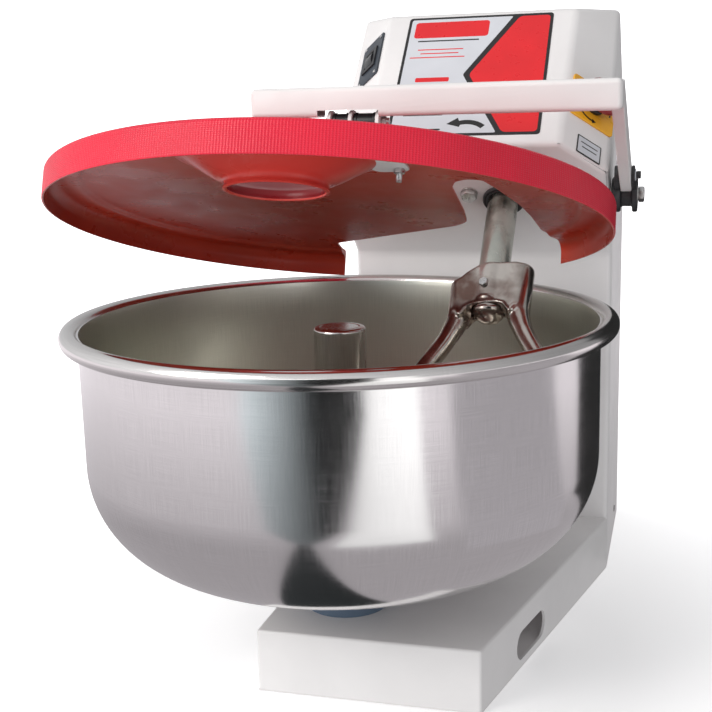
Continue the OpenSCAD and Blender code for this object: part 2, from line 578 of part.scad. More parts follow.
// ---------- lid and its arms ----------
module lid_arm() color([0.93, 0.92, 0.91]) {
    xl = 2 * mid_x - 278; xr = 278;
    difference() {
        translate([xl + 12.5, bar_y - 15, bar_z - 15]) cube([xr - xl - 25, 30, 30]);
        translate([xl + 14.5, bar_y - 13, bar_z - 13]) cube([xr - xl - 29, 26, 26]);
        translate([-21, bar_y - 20, bar_z - 20]) cube([63, 40, 12]);
    }
    for (m = [0, 1]) translate([m * 2 * mid_x, 0, 0]) mirror([m, 0, 0]) difference() {
        union() {
            translate([xr - 12.5, bar_y - 15, bar_z - 15]) cube([12.5, 30, 30]);
            translate([xr - 12.5, pivot_y, pivot_z]) rotate([-arm_t, 0, 0])
                translate([0, -arm_l - 2, -3]) cube([12.5, arm_l + 2, 24]);
            rod_x(xr - 12.2, xr - 0.3, pivot_y, pivot_z, 22);
        }
        rod_x(xr - 20, xr + 10, pivot_y, pivot_z, 13.6);
        translate([xr - 20, pivot_y, pivot_z]) rotate([-arm_t, 0, 0])
            translate([0, -38, 8]) rotate([0, 90, 0]) cylinder(r = 3.1, h = 40);
    }
}
module pivot_spools() color([0.06, 0.06, 0.06])
    for (m = [0, 1]) translate([m * 2 * mid_x, 0, 0]) mirror([m, 0, 0]) difference() {
        union() {
            rod_x(255.4, 265.4, pivot_y, pivot_z, 20);
            rod_x(264, 279, pivot_y, pivot_z, 13.5);
            rod_x(278.1, 284, pivot_y, pivot_z, 20);
            for (x = [[259.7, 5.4], [278.4, 3.6]]) translate([x[0], pivot_y, pivot_z]) rotate([-arm_t, 0, 0]) {
                translate([0, -38, -2]) cube([x[1], 38, 20]);
                translate([0, -38, 8]) rotate([0, 90, 0]) cylinder(r = 10.5, h = x[1]);
            }
            translate([255.4, pivot_y, pivot_z]) rotate([-arm_t, 0, 0]) translate([5, -38, 8])
                rotate([0, 90, 0]) cylinder(r = 3, h = 30);
        }
        rod_x(250, 290, pivot_y, pivot_z, 6 + run);
    }
module pivot_bolts() color([0.72, 0.73, 0.74])
    for (m = [0, 1]) translate([m * 2 * mid_x, 0, 0]) mirror([m, 0, 0]) {
        rod_x(241, 285.5, pivot_y, pivot_z, 6);
        ring_x(284.3, 285.5, pivot_y, pivot_z, 11, 5.9);
        translate([285.4, pivot_y, pivot_z]) rotate([0, 90, 0]) cylinder(r = 9.2, h = 6, $fn = 6);
        difference() {
            translate([243, pivot_y, pivot_z]) rotate([0, 90, 0]) cylinder(r = 9.2, h = 8.2, $fn = 6);
            rod_x(240, 255, pivot_y, pivot_z, 5.9);
        }
        ring_x(253.3, 255, pivot_y, pivot_z, 9, 5.9);
    }
module lid_bracket() color([0.9, 0.89, 0.88]) {
    for (x = [-12, 10, 38]) difference() {
        translate([x, bar_y - 14, 470]) cube([4, 28, 109]);
        at_lid() translate([-400, -400, -200]) cube([800, 800, 200 + lid_h - 1.9]);
    }
    for (x = [-12, 38]) intersection() {
        at_lid() translate([x - 8, 20, lid_h - 1.9]) cube([24, 60, 3]);
        translate([x - 8, bar_y - 24, 440]) cube([24, 48, 100]);
    }
    rod_x(-16, 47, bar_y, hinge_z, 4);
    rod_x(-8, 10, bar_y, hinge_z, 8.5);
    rod_x(16, 36, bar_y, hinge_z, 8.5);
    translate([42, bar_y, hinge_z]) rotate([0, 90, 0]) cylinder(r = 5.3, h = 6, $fn = 6);
    for (x = [-12, 38]) translate([x, bar_y - 14, 570]) cube([4, 28, 12.5]);
}
module lid_opening(z, h) {
    translate([0, 0, z]) linear_extrude(h) polygon([[-66, 320], [-51, 200], [70, 127], [108, 104], [122, 85],
        [127, 40], [133, -60], [140, -82], [152, -90], [165, -86], [173, -55], [186, 10], [191, 60],
        [194, 128], [207, 156], [211, 181], [216, 320]]);
}
module lid_plate() color([0.62, 0.12, 0.08]) at_lid() difference() {
    union() {
        translate([0, 0, lid_h - 4]) cylinder(r = lid_r - 2.1, h = 2);
        translate([2, -168, 0]) scale([1.3, 1, 1]) translate([0, 0, lid_h - 26]) cylinder(r1 = 38, r2 = 66, h = 24);
    }
    translate([2, -168, 0]) scale([1.3, 1, 1]) {
        translate([0, 0, lid_h - 27]) cylinder(r = 34.5, h = 10);
        translate([0, 0, lid_h - 24]) cylinder(r1 = 36, r2 = 64, h = 24.5);
    }
    lid_opening(-10, 60);
}
module lid_band() color([0.85, 0.1, 0.2]) at_lid() difference() {
    ring(lid_r, lid_r - 2, lid_h);
    lid_opening(-10, 60);
}

// ---------- output ----------
bottom_plate();
base_tray();
column_shell();
rear_cover();
frame_screws();
bowl_pedestal();
bowl_bearings();
bowl();
bowl_base();
bowl_rim();
centre_post();
bowl_flange();
bowl_bolts();
bowl_spindle();
bowl_sprocket();
bowl_chain();
drive_sprocket();
low_output_shaft();
low_gearbox();
low_gearbox_cover();
low_bearings();
low_worm_shaft();
low_pulley();
low_belt();
motor_shelf();
motor_housing();
motor_fan_cover();
motor_terminal_box();
motor_bearings();
motor_rotor();
motor_pulley();
head_belt();
head_pulley();
head_worm_shaft();
head_gearbox();
head_gearbox_cover();
head_bearings();
gearbox_bolts();
shaft_seal();
fork_shaft();
fork_yoke();
fork_prongs();
fork_nut();
fork_set_screw();
front_label();
stop_plate();
stop_body();
stop_button();
rating_label();
switch_plate();
switch_body();
switch_rocker();
control_box();
cable_gland();
lid_arm();
pivot_spools();
pivot_bolts();
lid_bracket();
lid_plate();
lid_band();
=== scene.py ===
import json
import math

import bmesh
import bpy
from mathutils import Matrix, Vector


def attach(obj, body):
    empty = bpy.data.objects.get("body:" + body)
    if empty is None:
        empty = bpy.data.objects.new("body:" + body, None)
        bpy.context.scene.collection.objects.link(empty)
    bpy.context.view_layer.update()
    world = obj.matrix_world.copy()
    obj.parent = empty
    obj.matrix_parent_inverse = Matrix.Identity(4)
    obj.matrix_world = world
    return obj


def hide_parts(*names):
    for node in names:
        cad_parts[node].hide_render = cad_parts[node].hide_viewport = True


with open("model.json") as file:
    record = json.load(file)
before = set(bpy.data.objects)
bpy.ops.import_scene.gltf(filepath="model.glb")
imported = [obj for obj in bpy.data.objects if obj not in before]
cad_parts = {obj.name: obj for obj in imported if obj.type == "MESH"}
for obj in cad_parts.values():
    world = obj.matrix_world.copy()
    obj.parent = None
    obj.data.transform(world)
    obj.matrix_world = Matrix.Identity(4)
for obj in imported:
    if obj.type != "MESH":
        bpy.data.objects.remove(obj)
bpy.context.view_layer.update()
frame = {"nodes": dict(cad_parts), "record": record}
scene = bpy.context.scene
MM = 0.001
rad = math.radians

# ---------- named sizes, in millimetres, as in the part's source ----------
RIM_R, RIM_Z, TUBE = 280.0, 372.0, 9.0
WALL, BOWL_Z, ROUND, SHEET = 262.0, 134.0, 108.0, 2.0
POST_R, POST_Z = 27.0, 366.0
BASE_H, BASE_Y0 = 66.6, -90.6
COL_X0, COL_X1, COL_Y0, COL_Y1 = -67.5, 253.2, 314.4, 545.0
MID_X = (COL_X0 + COL_X1) / 2
UNDER_S, FRONT_D, REAR_S, HEAD_Z = 716.7, 363.9, 1095.0, 693.0
Q2 = math.sqrt(2)
FORK_O, FORK_TURN, SHAFT_R, PRONG_R = (132.5, 241.8, 474.9), -10.0, 17.5, 10.0
LID_R, LID_H, LID_OPEN = 277.0, 30.0, 17.94
LID_X, LID_CLOSED_Y, LID_CLOSED_Z = -2.0, -2.0, 383.2
FUNNEL, FUNNEL_R, FUNNEL_WIDE = (2, -168, 0), 66.0, 1.3
PIVOT_Y, PIVOT_Z = 256.0, 479.0
BAR_Y, BAR_Z, HINGE_Z = 28.0, 590.5, 570.0
CH_P, CH_N, CH_G = (203.0, 176.4, 540.3), (0.6979, -0.5155, 0.4972), 144.573
BASE_XL, BASE_XR, BASE_SKEW = -71.7, 159.5, 1.027
SWITCH_AT, STOP_AT, RATING_AT = (156, -24), (82, -38), (17, -40)     # on a chamfer, along and across it
DOOR_X, DOOR_Z0, DOOR_Z1 = 60.0, 2.5, 60.5                           # gap between base and column


def rx(a):
    return Matrix.Rotation(rad(a), 4, "X")


def ry(a):
    return Matrix.Rotation(rad(a), 4, "Y")


def rz(a):
    return Matrix.Rotation(rad(a), 4, "Z")


def at(x, y, z):
    return Matrix.Translation(Vector((x, y, z)) * MM)


AT_FORK = at(*FORK_O) @ rx(-45)
AT_YOKE = AT_FORK @ rz(FORK_TURN)
CLOSED_DY, CLOSED_DZ = LID_CLOSED_Y - PIVOT_Y, LID_CLOSED_Z - PIVOT_Z
LID_Y = PIVOT_Y + CLOSED_DY * math.cos(rad(LID_OPEN)) + CLOSED_DZ * math.sin(rad(LID_OPEN))
LID_Z = PIVOT_Z - CLOSED_DY * math.sin(rad(LID_OPEN)) + CLOSED_DZ * math.cos(rad(LID_OPEN))
AT_LID = at(LID_X, LID_Y, LID_Z) @ rx(-LID_OPEN)
CH_B = math.degrees(math.acos(CH_N[2]))
CH_A = math.degrees(math.atan2(CH_N[1], CH_N[0]))
FLIP = at(2 * MID_X, 0, 0) @ Matrix.Diagonal((-1, 1, 1, 1))
ARM_T = math.degrees(math.atan2(BAR_Z - PIVOT_Z, PIVOT_Y - BAR_Y))
ARM_L = math.hypot(PIVOT_Y - BAR_Y, BAR_Z - PIVOT_Z)
ALONG_X = ry(90)
# an outline drawn in (y, z) and extruded along x, or drawn in (x, z) and extruded along -y
YZ_TO_X = Matrix(((0, 0, 1, 0), (1, 0, 0, 0), (0, 1, 0, 0), (0, 0, 0, 1)))
XZ_TO_Y = Matrix(((1, 0, 0, 0), (0, 0, -1, 0), (0, 1, 0, 0), (0, 0, 0, 1)))


def hand(side):
    """Nothing for the right side (1), and the mirror image for the left one (-1)."""
    return Matrix.Identity(4) if side == 1 else FLIP


def at_chamfer(u, v):
    """On the right chamfer, u along it and v across it."""
    return at(*CH_P) @ rz(CH_A) @ ry(CH_B) @ rz(CH_G) @ at(u, v, 0)


# ---------- node helpers for the materials ----------
class Mat:
    """A material with a Principled shader and short calls for its nodes."""

    def __init__(self, name, base, rough=0.5, metallic=0.0, **sockets):
        self.m = bpy.data.materials.new(name)
        self.m.use_nodes = True
        self.t = self.m.node_tree
        self.p = self.t.nodes["Principled BSDF"]
        self.base = base
        self.p.inputs["Base Color"].default_value = (*base, 1)
        self.p.inputs["Roughness"].default_value = rough
        self.p.inputs["Metallic"].default_value = metallic
        for k, v in sockets.items():
            self.p.inputs[k.replace("_", " ")].default_value = v
        self.m.diffuse_color = (*base, 1)
        self.coord = self.t.nodes.new("ShaderNodeTexCoord").outputs["Object"]
        self.xyz = self.node("SeparateXYZ", Vector=self.coord)

    def node(self, kind, **inputs):
        n = self.t.nodes.new("ShaderNode" + kind)
        for k, v in inputs.items():
            self.put(n.inputs[k.replace("_", " ")], v)
        return n

    def put(self, socket, v):
        if isinstance(v, bpy.types.NodeSocket):
            self.t.links.new(v, socket)
        else:
            socket.default_value = v

    def math(self, op, a, b=0.0, c=0.0):
        n = self.t.nodes.new("ShaderNodeMath")
        n.operation = op
        for i, v in enumerate((a, b, c)):
            self.put(n.inputs[i], v)
        return n.outputs[0]

    def noise(self, scale, detail=3.0, stretch=None, rough=0.5, vector=None):
        v = vector or self.coord
        if stretch:
            v = self.node("Mapping", Vector=v, Scale=stretch).outputs[0]
        return self.node("TexNoise", Vector=v, Scale=scale, Detail=detail, Roughness=rough).outputs["Fac"]

    def span(self, v, lo, hi, a=0.35, b=0.65):
        n = self.node("MapRange", Value=v)
        for i, x in ((1, a), (2, b), (3, lo), (4, hi)):
            n.inputs[i].default_value = x
        return n.outputs[0]

    def mix(self, fac, a, b):
        n = self.t.nodes.new("ShaderNodeMix")
        n.data_type = "RGBA"
        for i, v in ((0, fac), (6, a), (7, b)):
            if isinstance(v, (tuple, list)):
                v = (*v, 1)[:4]
            self.put(n.inputs[i], v)
        return n.outputs[2]

    def colour(self, v):
        self.put(self.p.inputs["Base Color"], v)
        return self

    def rough(self, v):
        self.put(self.p.inputs["Roughness"], v)
        return self

    def bump(self, height, strength=0.2, distance=0.001):
        n = self.node("Bump", Height=height, Strength=strength, Distance=distance)
        if self.p.inputs["Normal"].is_linked:
            self.put(n.inputs["Normal"], self.p.inputs["Normal"].links[0].from_socket)
        self.put(self.p.inputs["Normal"], n.outputs[0])
        return self

    def ring_coord(self, r):
        """(arc length round z at radius r, height) in metres, for a turned piece."""
        ang = self.math("ARCTAN2", self.xyz.outputs[1], self.xyz.outputs[0])
        return self.math("MULTIPLY", ang, r), self.xyz.outputs[2]


def mul(c, k):
    return tuple(min(1.0, x * k) for x in c)


def painted(name, base, rough=0.42, peel=0.12, var=0.05, scale=900, coat=0.0, dirt=0.10):
    m = Mat(name, base, rough, 0.0, Coat_Weight=coat, Coat_Roughness=0.12)
    big, fine = m.noise(7, 4), m.noise(scale, 2)
    tone = m.mix(m.span(big, 0, 1), mul(base, 1 - var), mul(base, 1 + var * 0.6))
    soil = m.span(m.noise(38, 6, rough=0.65), 0, dirt, 0.58, 0.78)
    m.colour(m.mix(soil, tone, mul(base, 0.78)))
    m.rough(m.span(m.noise(60, 4), rough - 0.06, rough + 0.08))
    m.bump(fine, peel, 0.0004)
    m.bump(m.noise(25, 2), 0.05, 0.001)
    return m.m


def steel(name, base, rough=0.3, lines=(1, 1, 60), var=0.12, stain_and_reflection=None, stain_and_reflection_amount=0.5, bump=0.05,
          patch_scale=22, edge=(0.45, 0.7)):
    m = Mat(name, base, rough, 1.0)
    grain = m.noise(40, 4, stretch=lines)
    tone = m.mix(m.span(grain, 0, 1), mul(base, 1 - var), mul(base, 1 + var * 0.5))
    patch = m.noise(patch_scale, 5, rough=0.6)
    # this tint is real tarnish and oil on some parts, and a painted reflection of the red-brown lid on the
    # fork's shaft and yoke
    if stain_and_reflection:
        tone = m.mix(m.span(patch, 0, stain_and_reflection_amount, *edge), tone, stain_and_reflection)
    m.colour(tone)
    m.rough(m.math("ADD", m.span(grain, rough - 0.05, rough + 0.07), m.span(patch, 0, 0.08)))
    m.bump(grain, bump, 0.0003)
    return m.m


def plastic(name, base, rough=0.4, grain=0.1, scale=1400, var=0.15, coat=0.0):
    m = Mat(name, base, rough, 0.0, Coat_Weight=coat, Coat_Roughness=0.08)
    m.colour(m.mix(m.span(m.noise(18, 4), 0, 1), mul(base, 1 - var), mul(base, 1 + var)))
    m.rough(m.span(m.noise(90, 5), rough - 0.08, rough + 0.1))
    if grain:
        m.bump(m.noise(scale, 2), grain, 0.0003)
    return m.m


def rubber(name, base):
    m = Mat(name, base, 0.62, 0.0, Sheen_Weight=0.15)
    m.colour(m.mix(m.span(m.noise(55, 6), 0, 1), mul(base, 0.7), mul(base, 1.8)))
    m.rough(m.span(m.noise(120, 4), 0.5, 0.75))
    m.bump(m.noise(700, 3), 0.25, 0.0004)
    return m.m


def lid_skin(name, base):
    """Embossed diamond weave, with a painted highlight, a paler colour, on the top of each diamond."""
    m = Mat(name, base, 0.38, 0.0, Specular_IOR_Level=0.35)
    pitch, squat = 0.0052, 1.5
    around, z = m.ring_coord(LID_R * MM)
    flat = m.math("GREATER_THAN", m.xyz.outputs[2], (LID_H - 1.2) * MM)
    k = 2 * math.pi / pitch
    side = m.math("SUBTRACT", 1.0, flat)
    u = m.math("ADD", m.math("MULTIPLY", around, side), m.math("MULTIPLY", m.xyz.outputs[0], flat))
    w = m.math("ADD", m.math("MULTIPLY", z, side), m.math("MULTIPLY", m.xyz.outputs[1], flat))
    w = m.math("MULTIPLY", w, squat)
    a = m.math("SINE", m.math("MULTIPLY", m.math("ADD", u, w), k))
    b = m.math("SINE", m.math("MULTIPLY", m.math("SUBTRACT", u, w), k))
    h = m.math("MULTIPLY_ADD", m.math("MULTIPLY", a, b), 0.5, 0.5)
    painted_glint = m.span(h, 0, 0.16, 0.6, 1.0)
    tone = m.mix(m.span(m.noise(9, 4), 0, 1), mul(base, 0.9), mul(base, 1.08))
    # the paler tops are a painted highlight on the red skin
    m.colour(m.mix(painted_glint, tone, (0.95, 0.2, 0.3)))
    m.rough(m.span(h, 0.44, 0.3, 0.0, 1.0))
    m.bump(h, 0.5, 0.0007)
    m.bump(m.noise(20, 3), 0.12, 0.002)
    return m.m


def lid_under(name, base, streak=(0.5, 0.1, 0.06)):
    """Gloss skin with soft swirls left by the mould."""
    m = Mat(name, base, 0.28, 0.0, Specular_IOR_Level=0.3)
    drift = m.node("TexNoise", Vector=m.coord, Scale=4.0, Detail=2.0).outputs["Color"]
    warp = m.node("MixRGB", Fac=0.12, Color1=m.coord, Color2=drift)
    swirl = m.noise(5, 3, stretch=(1.0, 3.2, 3.2), rough=0.45, vector=warp.outputs[0])
    tone = m.mix(m.span(m.noise(5, 3), 0, 1), mul(base, 0.86), mul(base, 1.12))
    m.colour(m.mix(m.span(swirl, 0, 0.3, 0.5, 0.72), tone, streak))
    m.rough(m.span(m.noise(24, 4), 0.24, 0.36))
    m.bump(m.noise(6, 2, rough=0.4), 0.14, 0.004)
    return m.m


def bowl_skin(name, base, rough, across=0.5):
    """Spun and brushed stainless: fine rings round the axis, crossed by faint upright scratches."""
    m = Mat(name, base, rough, 1.0, Anisotropic=0.2)
    around, z = m.ring_coord(WALL * MM)
    pos = m.node("CombineXYZ", X=around, Y=z, Z=0.0).outputs[0]
    rings = m.noise(60, 5, stretch=(0.35, 26, 1), vector=pos, rough=0.6)
    ups = m.noise(60, 4, stretch=(24, 0.5, 1), vector=pos)
    cloud = m.noise(7, 4, vector=pos)
    mixed = m.math("ADD", m.math("MULTIPLY", rings, 1 - across), m.math("MULTIPLY", ups, across))
    tone = m.mix(m.span(mixed, 0, 1, 0.4, 0.6), mul(base, 0.93), mul(base, 1.04))
    m.colour(m.mix(m.span(cloud, 0, 0.5), tone, mul(base, 0.94)))
    m.rough(m.math("ADD", m.span(mixed, rough - 0.03, rough + 0.05), m.span(cloud, 0, 0.05)))
    m.bump(mixed, 0.05, 0.0002)
    m.bump(m.noise(5, 2, vector=pos), 0.05, 0.002)
    return m.m


def card(name, lo, hi, x0, x1, tint=(1, 1, 1), radial=False):
    """A glowing or dark studio card, shaded along its own x, or outwards from its origin."""
    m = bpy.data.materials.new(name)
    m.use_nodes = True
    new, link = m.node_tree.nodes.new, m.node_tree.links.new
    m.node_tree.nodes.clear()
    coord, shade_range = new("ShaderNodeTexCoord"), new("ShaderNodeMapRange")
    glow_node, output = new("ShaderNodeEmission"), new("ShaderNodeOutputMaterial")
    if radial:
        along = new("ShaderNodeVectorMath")
        along.operation = "LENGTH"
    else:
        along = new("ShaderNodeSeparateXYZ")
    link(coord.outputs["Object"], along.inputs[0])
    link(along.outputs["Value"] if radial else along.outputs[0], shade_range.inputs[0])
    for i, v in ((1, x0), (2, x1), (3, lo), (4, hi)):
        shade_range.inputs[i].default_value = v
    link(shade_range.outputs[0], glow_node.inputs["Strength"])
    glow_node.inputs["Color"].default_value = (*tint, 1)
    link(glow_node.outputs[0], output.inputs[0])
    return m


WHITE = painted("powder_coat_white", (0.80, 0.785, 0.78))
PLATE_WHITE = painted("powder_coat_plain", (0.76, 0.74, 0.73), rough=0.48)
ZINC = steel("zinc_plated", (0.62, 0.62, 0.62), 0.28, (6, 6, 6), 0.2, stain_and_reflection=(0.42, 0.38, 0.3),
             stain_and_reflection_amount=0.35)
PLAIN = steel("turned_steel", (0.5, 0.5, 0.51), 0.3, (1, 1, 40))
DARK_STEEL = steel("oiled_steel", (0.2, 0.2, 0.21), 0.38, (4, 4, 4), stain_and_reflection=(0.12, 0.08, 0.05))
BLUE_GREY = painted("enamel_blue_grey", (0.13, 0.19, 0.27), rough=0.35, peel=0.2, scale=260, var=0.12, coat=0.3)
CAST = steel("cast_pulley_grey", (0.34, 0.35, 0.36), 0.45, (5, 5, 5), bump=0.2)
RUBBER = rubber("black_rubber_skin", (0.018, 0.018, 0.019))
BLACK = plastic("black_moulded", (0.02, 0.021, 0.023), rough=0.38)
STAINLESS = bowl_skin("spun_stainless", (0.77, 0.755, 0.755), 0.125)
# the inside copy's darker olive tint is a painted reflection, set to the tone the bowl's inside mirrors
STAINLESS_IN = bowl_skin("spun_stainless_inside", (0.70, 0.695, 0.63), 0.3, across=0.6)
RIM = bowl_skin("polished_rim", (0.74, 0.72, 0.71), 0.13, across=0.25)
POST = steel("polished_post", (0.68, 0.66, 0.64), 0.16, (30, 30, 1), 0.14, stain_and_reflection=(0.35, 0.3, 0.25),
             stain_and_reflection_amount=0.25)
# dark brown patches on the shaft are a painted reflection of the lid's underside
SHAFT = steel("shaft_steel_painted_reflection", (0.52, 0.53, 0.48), 0.22, (1.2, 1.2, 0.15), 0.14, stain_and_reflection=(0.13, 0.115, 0.09),
              stain_and_reflection_amount=0.8, bump=0.01,
              patch_scale=13, edge=(0.48, 0.62))
# the red-brown patches on the yoke are a painted reflection of the lid's underside
FORGED = steel("forged_steel", (0.57, 0.53, 0.49), 0.18, (1.2, 1.2, 0.4), 0.1, stain_and_reflection=(0.13, 0.065, 0.05),
               stain_and_reflection_amount=0.9, bump=0.01,
               patch_scale=11, edge=(0.42, 0.58))
LID_RED = lid_skin("lid_textured_red", (0.70, 0.008, 0.035))
# the lid's underside: its red, painted darker and browner as shade under the lid
LID_RED_SHADED = lid_under("lid_gloss_red_painted_shade", (0.46, 0.036, 0.016))
FUNNEL_RED = lid_under("lid_gloss_funnel", (0.62, 0.045, 0.035), (0.8, 0.16, 0.12))
# the funnel's inner wall, painted dark red as shade inside the funnel
FUNNEL_SHADED_INSIDE = lid_under("lid_funnel_inside_painted_shade", (0.2, 0.005, 0.008), (0.34, 0.01, 0.02))
SILVER = plastic("label_film", (0.62, 0.64, 0.68), rough=0.36, grain=0.0, var=0.03)
LABEL_RED = plastic("label_print_red", (0.72, 0.01, 0.016), rough=0.34, grain=0.0, var=0.05)
LABEL_BLACK = plastic("label_print_black", (0.012, 0.011, 0.012), rough=0.36, grain=0.0)
YELLOW = plastic("yellow_moulded", (0.84, 0.42, 0.02), rough=0.35, grain=0.05, var=0.06, coat=0.2)
BUTTON = plastic("button_red", (0.30, 0.008, 0.012), rough=0.3, grain=0.05, var=0.1, coat=0.4)
SLATE = painted("slate_plate", (0.035, 0.045, 0.06), rough=0.4, var=0.2)
ROCKER = plastic("rocker_skin", (0.02, 0.021, 0.024), rough=0.25, coat=0.4)
GREY = painted("grey_box_paint", (0.5, 0.52, 0.55), rough=0.45)
BY_SLOT = dict(
    white_powder_coat=PLATE_WHITE, zinc_steel=ZINC, plain_steel=PLAIN, dark_steel=DARK_STEEL,
    blue_grey_paint=BLUE_GREY, cast_pulley=CAST, black_rubber=RUBBER, black_plastic=BLACK,
    brushed_stainless=STAINLESS, polished_steel=SHAFT, red_lid=LID_RED, red_brown_lid=LID_RED_SHADED,
    label_silver=SILVER, yellow_plate=YELLOW, red_button=BUTTON, dark_plate=SLATE, black_rocker=ROCKER,
    grey_box=GREY)


# ---------- mesh helpers: shapes are made in millimetres in their own frame ----------
def new_object(name, bm, mats, matrix=None, smooth=35, bevel=0.0, segments=3):
    """A mesh object from shapes in millimetres, smoothed, and bevelled if asked."""
    bmesh.ops.scale(bm, vec=(MM, MM, MM), verts=bm.verts)
    bmesh.ops.recalc_face_normals(bm, faces=bm.faces)
    me = bpy.data.meshes.new(name)
    bm.to_mesh(me)
    bm.free()
    for m in mats if isinstance(mats, (list, tuple)) else [mats]:
        me.materials.append(m)
    o = bpy.data.objects.new(name, me)
    scene.collection.objects.link(o)
    if matrix is not None:
        o.matrix_world = matrix
    shade(o, smooth)
    if bevel:
        add_bevel(o, bevel, segments)
    return o


def shade(o, angle=35):
    o.data.polygons.foreach_set("use_smooth", [True] * len(o.data.polygons))
    o.data.set_sharp_from_angle(angle=rad(angle))


def add_bevel(o, width, segments=3, angle=30, weld=False):
    if weld:
        w = o.modifiers.new("weld", "WELD")
        w.merge_threshold = 0.00001
    b = o.modifiers.new("bevel", "BEVEL")
    b.width, b.segments, b.limit_method, b.angle_limit = width * MM, segments, "ANGLE", rad(angle)
    b.harden_normals = not weld
    b.use_clamp_overlap = True
    return o


def apply(o, angle=35):
    """Turns the modifiers into mesh."""
    bpy.context.view_layer.update()
    dg = bpy.context.evaluated_depsgraph_get()
    me = bpy.data.meshes.new_from_object(o.evaluated_get(dg))
    o.modifiers.clear()
    o.data = me
    shade(o, angle)
    return o


def boolean(o, *others, op="DIFFERENCE"):
    for c in others:
        b = o.modifiers.new("cut", "BOOLEAN")
        b.operation, b.solver, b.object = op, "EXACT", c
        apply(o)
        bpy.data.objects.remove(c)
    return o


def prism(points, z0, z1, bm=None, matrix=None, mat=0):
    """Outline in x, y, extruded from z0 to z1."""
    bm = bm or bmesh.new()
    lo = [bm.verts.new((x, y, z0)) for x, y in points]
    hi = [bm.verts.new((x, y, z1)) for x, y in points]
    n = len(points)
    faces = [bm.faces.new(lo[::-1]), bm.faces.new(hi)]
    faces += [bm.faces.new((lo[i], lo[(i + 1) % n], hi[(i + 1) % n], hi[i])) for i in range(n)]
    for f in faces:
        f.material_index = mat
    if matrix is not None:
        bmesh.ops.transform(bm, matrix=matrix, verts=lo + hi)
    return bm


def block(lo, hi):
    return prism([(lo[0], lo[1]), (hi[0], lo[1]), (hi[0], hi[1]), (lo[0], hi[1])], lo[2], hi[2])


def lathe(profile, seg=96, bm=None, matrix=None, mats=None):
    """Closed outline in (r, z) turned round z. A point at r 0 becomes a pole."""
    bm = bm or bmesh.new()
    rings = []
    for r, z in profile:
        if r < 1e-6:
            rings.append([bm.verts.new((0, 0, z))])
        else:
            rings.append([bm.verts.new((r * math.cos(2 * math.pi * i / seg),
                                        r * math.sin(2 * math.pi * i / seg), z))
                          for i in range(seg)])
    n = len(rings)
    for k in range(n):
        a, b = rings[k], rings[(k + 1) % n]
        for i in range(seg):
            j = (i + 1) % seg
            if len(a) == 1 and len(b) == 1:
                break
            if len(a) == 1:
                f = bm.faces.new((a[0], b[i], b[j]))
            elif len(b) == 1:
                f = bm.faces.new((a[i], a[j], b[0]))
            else:
                f = bm.faces.new((a[i], a[j], b[j], b[i]))
            if mats:
                f.material_index = mats[k]
    if matrix is not None:
        bmesh.ops.transform(bm, matrix=matrix, verts=[v for r in rings for v in r])
    return bm


def arc(cx, cz, r, a0, a1, n=8):
    """n + 1 points of a circle's arc, from angle a0 to a1."""
    return [(cx + r * math.cos(rad(a0 + (a1 - a0) * i / n)), cz + r * math.sin(rad(a0 + (a1 - a0) * i / n)))
            for i in range(n + 1)]


def rounded(x0, y0, x1, y1, r, n=5):
    return (arc(x1 - r, y1 - r, r, 0, 90, n) + arc(x0 + r, y1 - r, r, 90, 180, n)
            + arc(x0 + r, y0 + r, r, 180, 270, n) + arc(x1 - r, y0 + r, r, 270, 360, n))


def disc(r, z0, z1, e=1.0, seg=64, bm=None):
    """A turned disc with rounded edges."""
    top = arc(r - e, z1 - e, e, 0, 90, 4)
    low = arc(r - e, z0 + e, e, -90, 0, 4)
    return lathe(low + top + [(0, z1), (0, z0)], seg, bm)


def ball(bm, c, r, seg=20):
    bmesh.ops.create_uvsphere(bm, u_segments=seg, v_segments=seg // 2, radius=r, matrix=Matrix.Translation(c))


def tube(points, radii, seg=28, bm=None):
    """A round bar along the points, its frame carried along so that it doesn't twist."""
    bm = bm or bmesh.new()
    pts = [Vector(p) for p in points]
    side = Vector((0, 1, 0))
    rings = []
    for i, p in enumerate(pts):
        t = (pts[min(i + 1, len(pts) - 1)] - pts[max(i - 1, 0)]).normalized()
        side = (side - t * side.dot(t)).normalized()
        up = t.cross(side)
        r = radii[i]
        rings.append([bm.verts.new(p + (up * math.cos(2 * math.pi * k / seg)
                                        + side * math.sin(2 * math.pi * k / seg)) * r) for k in range(seg)])
    for a, b in zip(rings, rings[1:]):
        for k in range(seg):
            bm.faces.new((a[k], a[(k + 1) % seg], b[(k + 1) % seg], b[k]))
    bm.faces.new(rings[0][::-1])
    bm.faces.new(rings[-1])
    return bm


def smooth_line(points, steps):
    """Catmull-Rom points through the given ones."""
    p = [Vector(q) for q in points]
    p = [p[0] * 2 - p[1]] + p + [p[-1] * 2 - p[-2]]
    out = []
    for i in range(1, len(p) - 2):
        for k in range(steps):
            t = k / steps
            out.append(0.5 * ((2 * p[i]) + (p[i + 1] - p[i - 1]) * t
                              + (2 * p[i - 1] - 5 * p[i] + 4 * p[i + 1] - p[i + 2]) * t * t
                              + (3 * p[i] - p[i - 1] - 3 * p[i + 1] + p[i + 2]) * t ** 3))
    return out + [p[-2]]


def polar(r, a):
    return r * math.cos(rad(a)), r * math.sin(rad(a))


def hexagon(af):
    """A hexagon by its width across flats."""
    return [polar(af / math.sqrt(3), 60 * i) for i in range(6)]


def piece(o, body, slot, *nodes):
    """Puts an object on its body and hides the CAD nodes that it replaces. Its slot is not used."""
    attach(o, body)
    if nodes:
        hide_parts(*nodes)
    return o


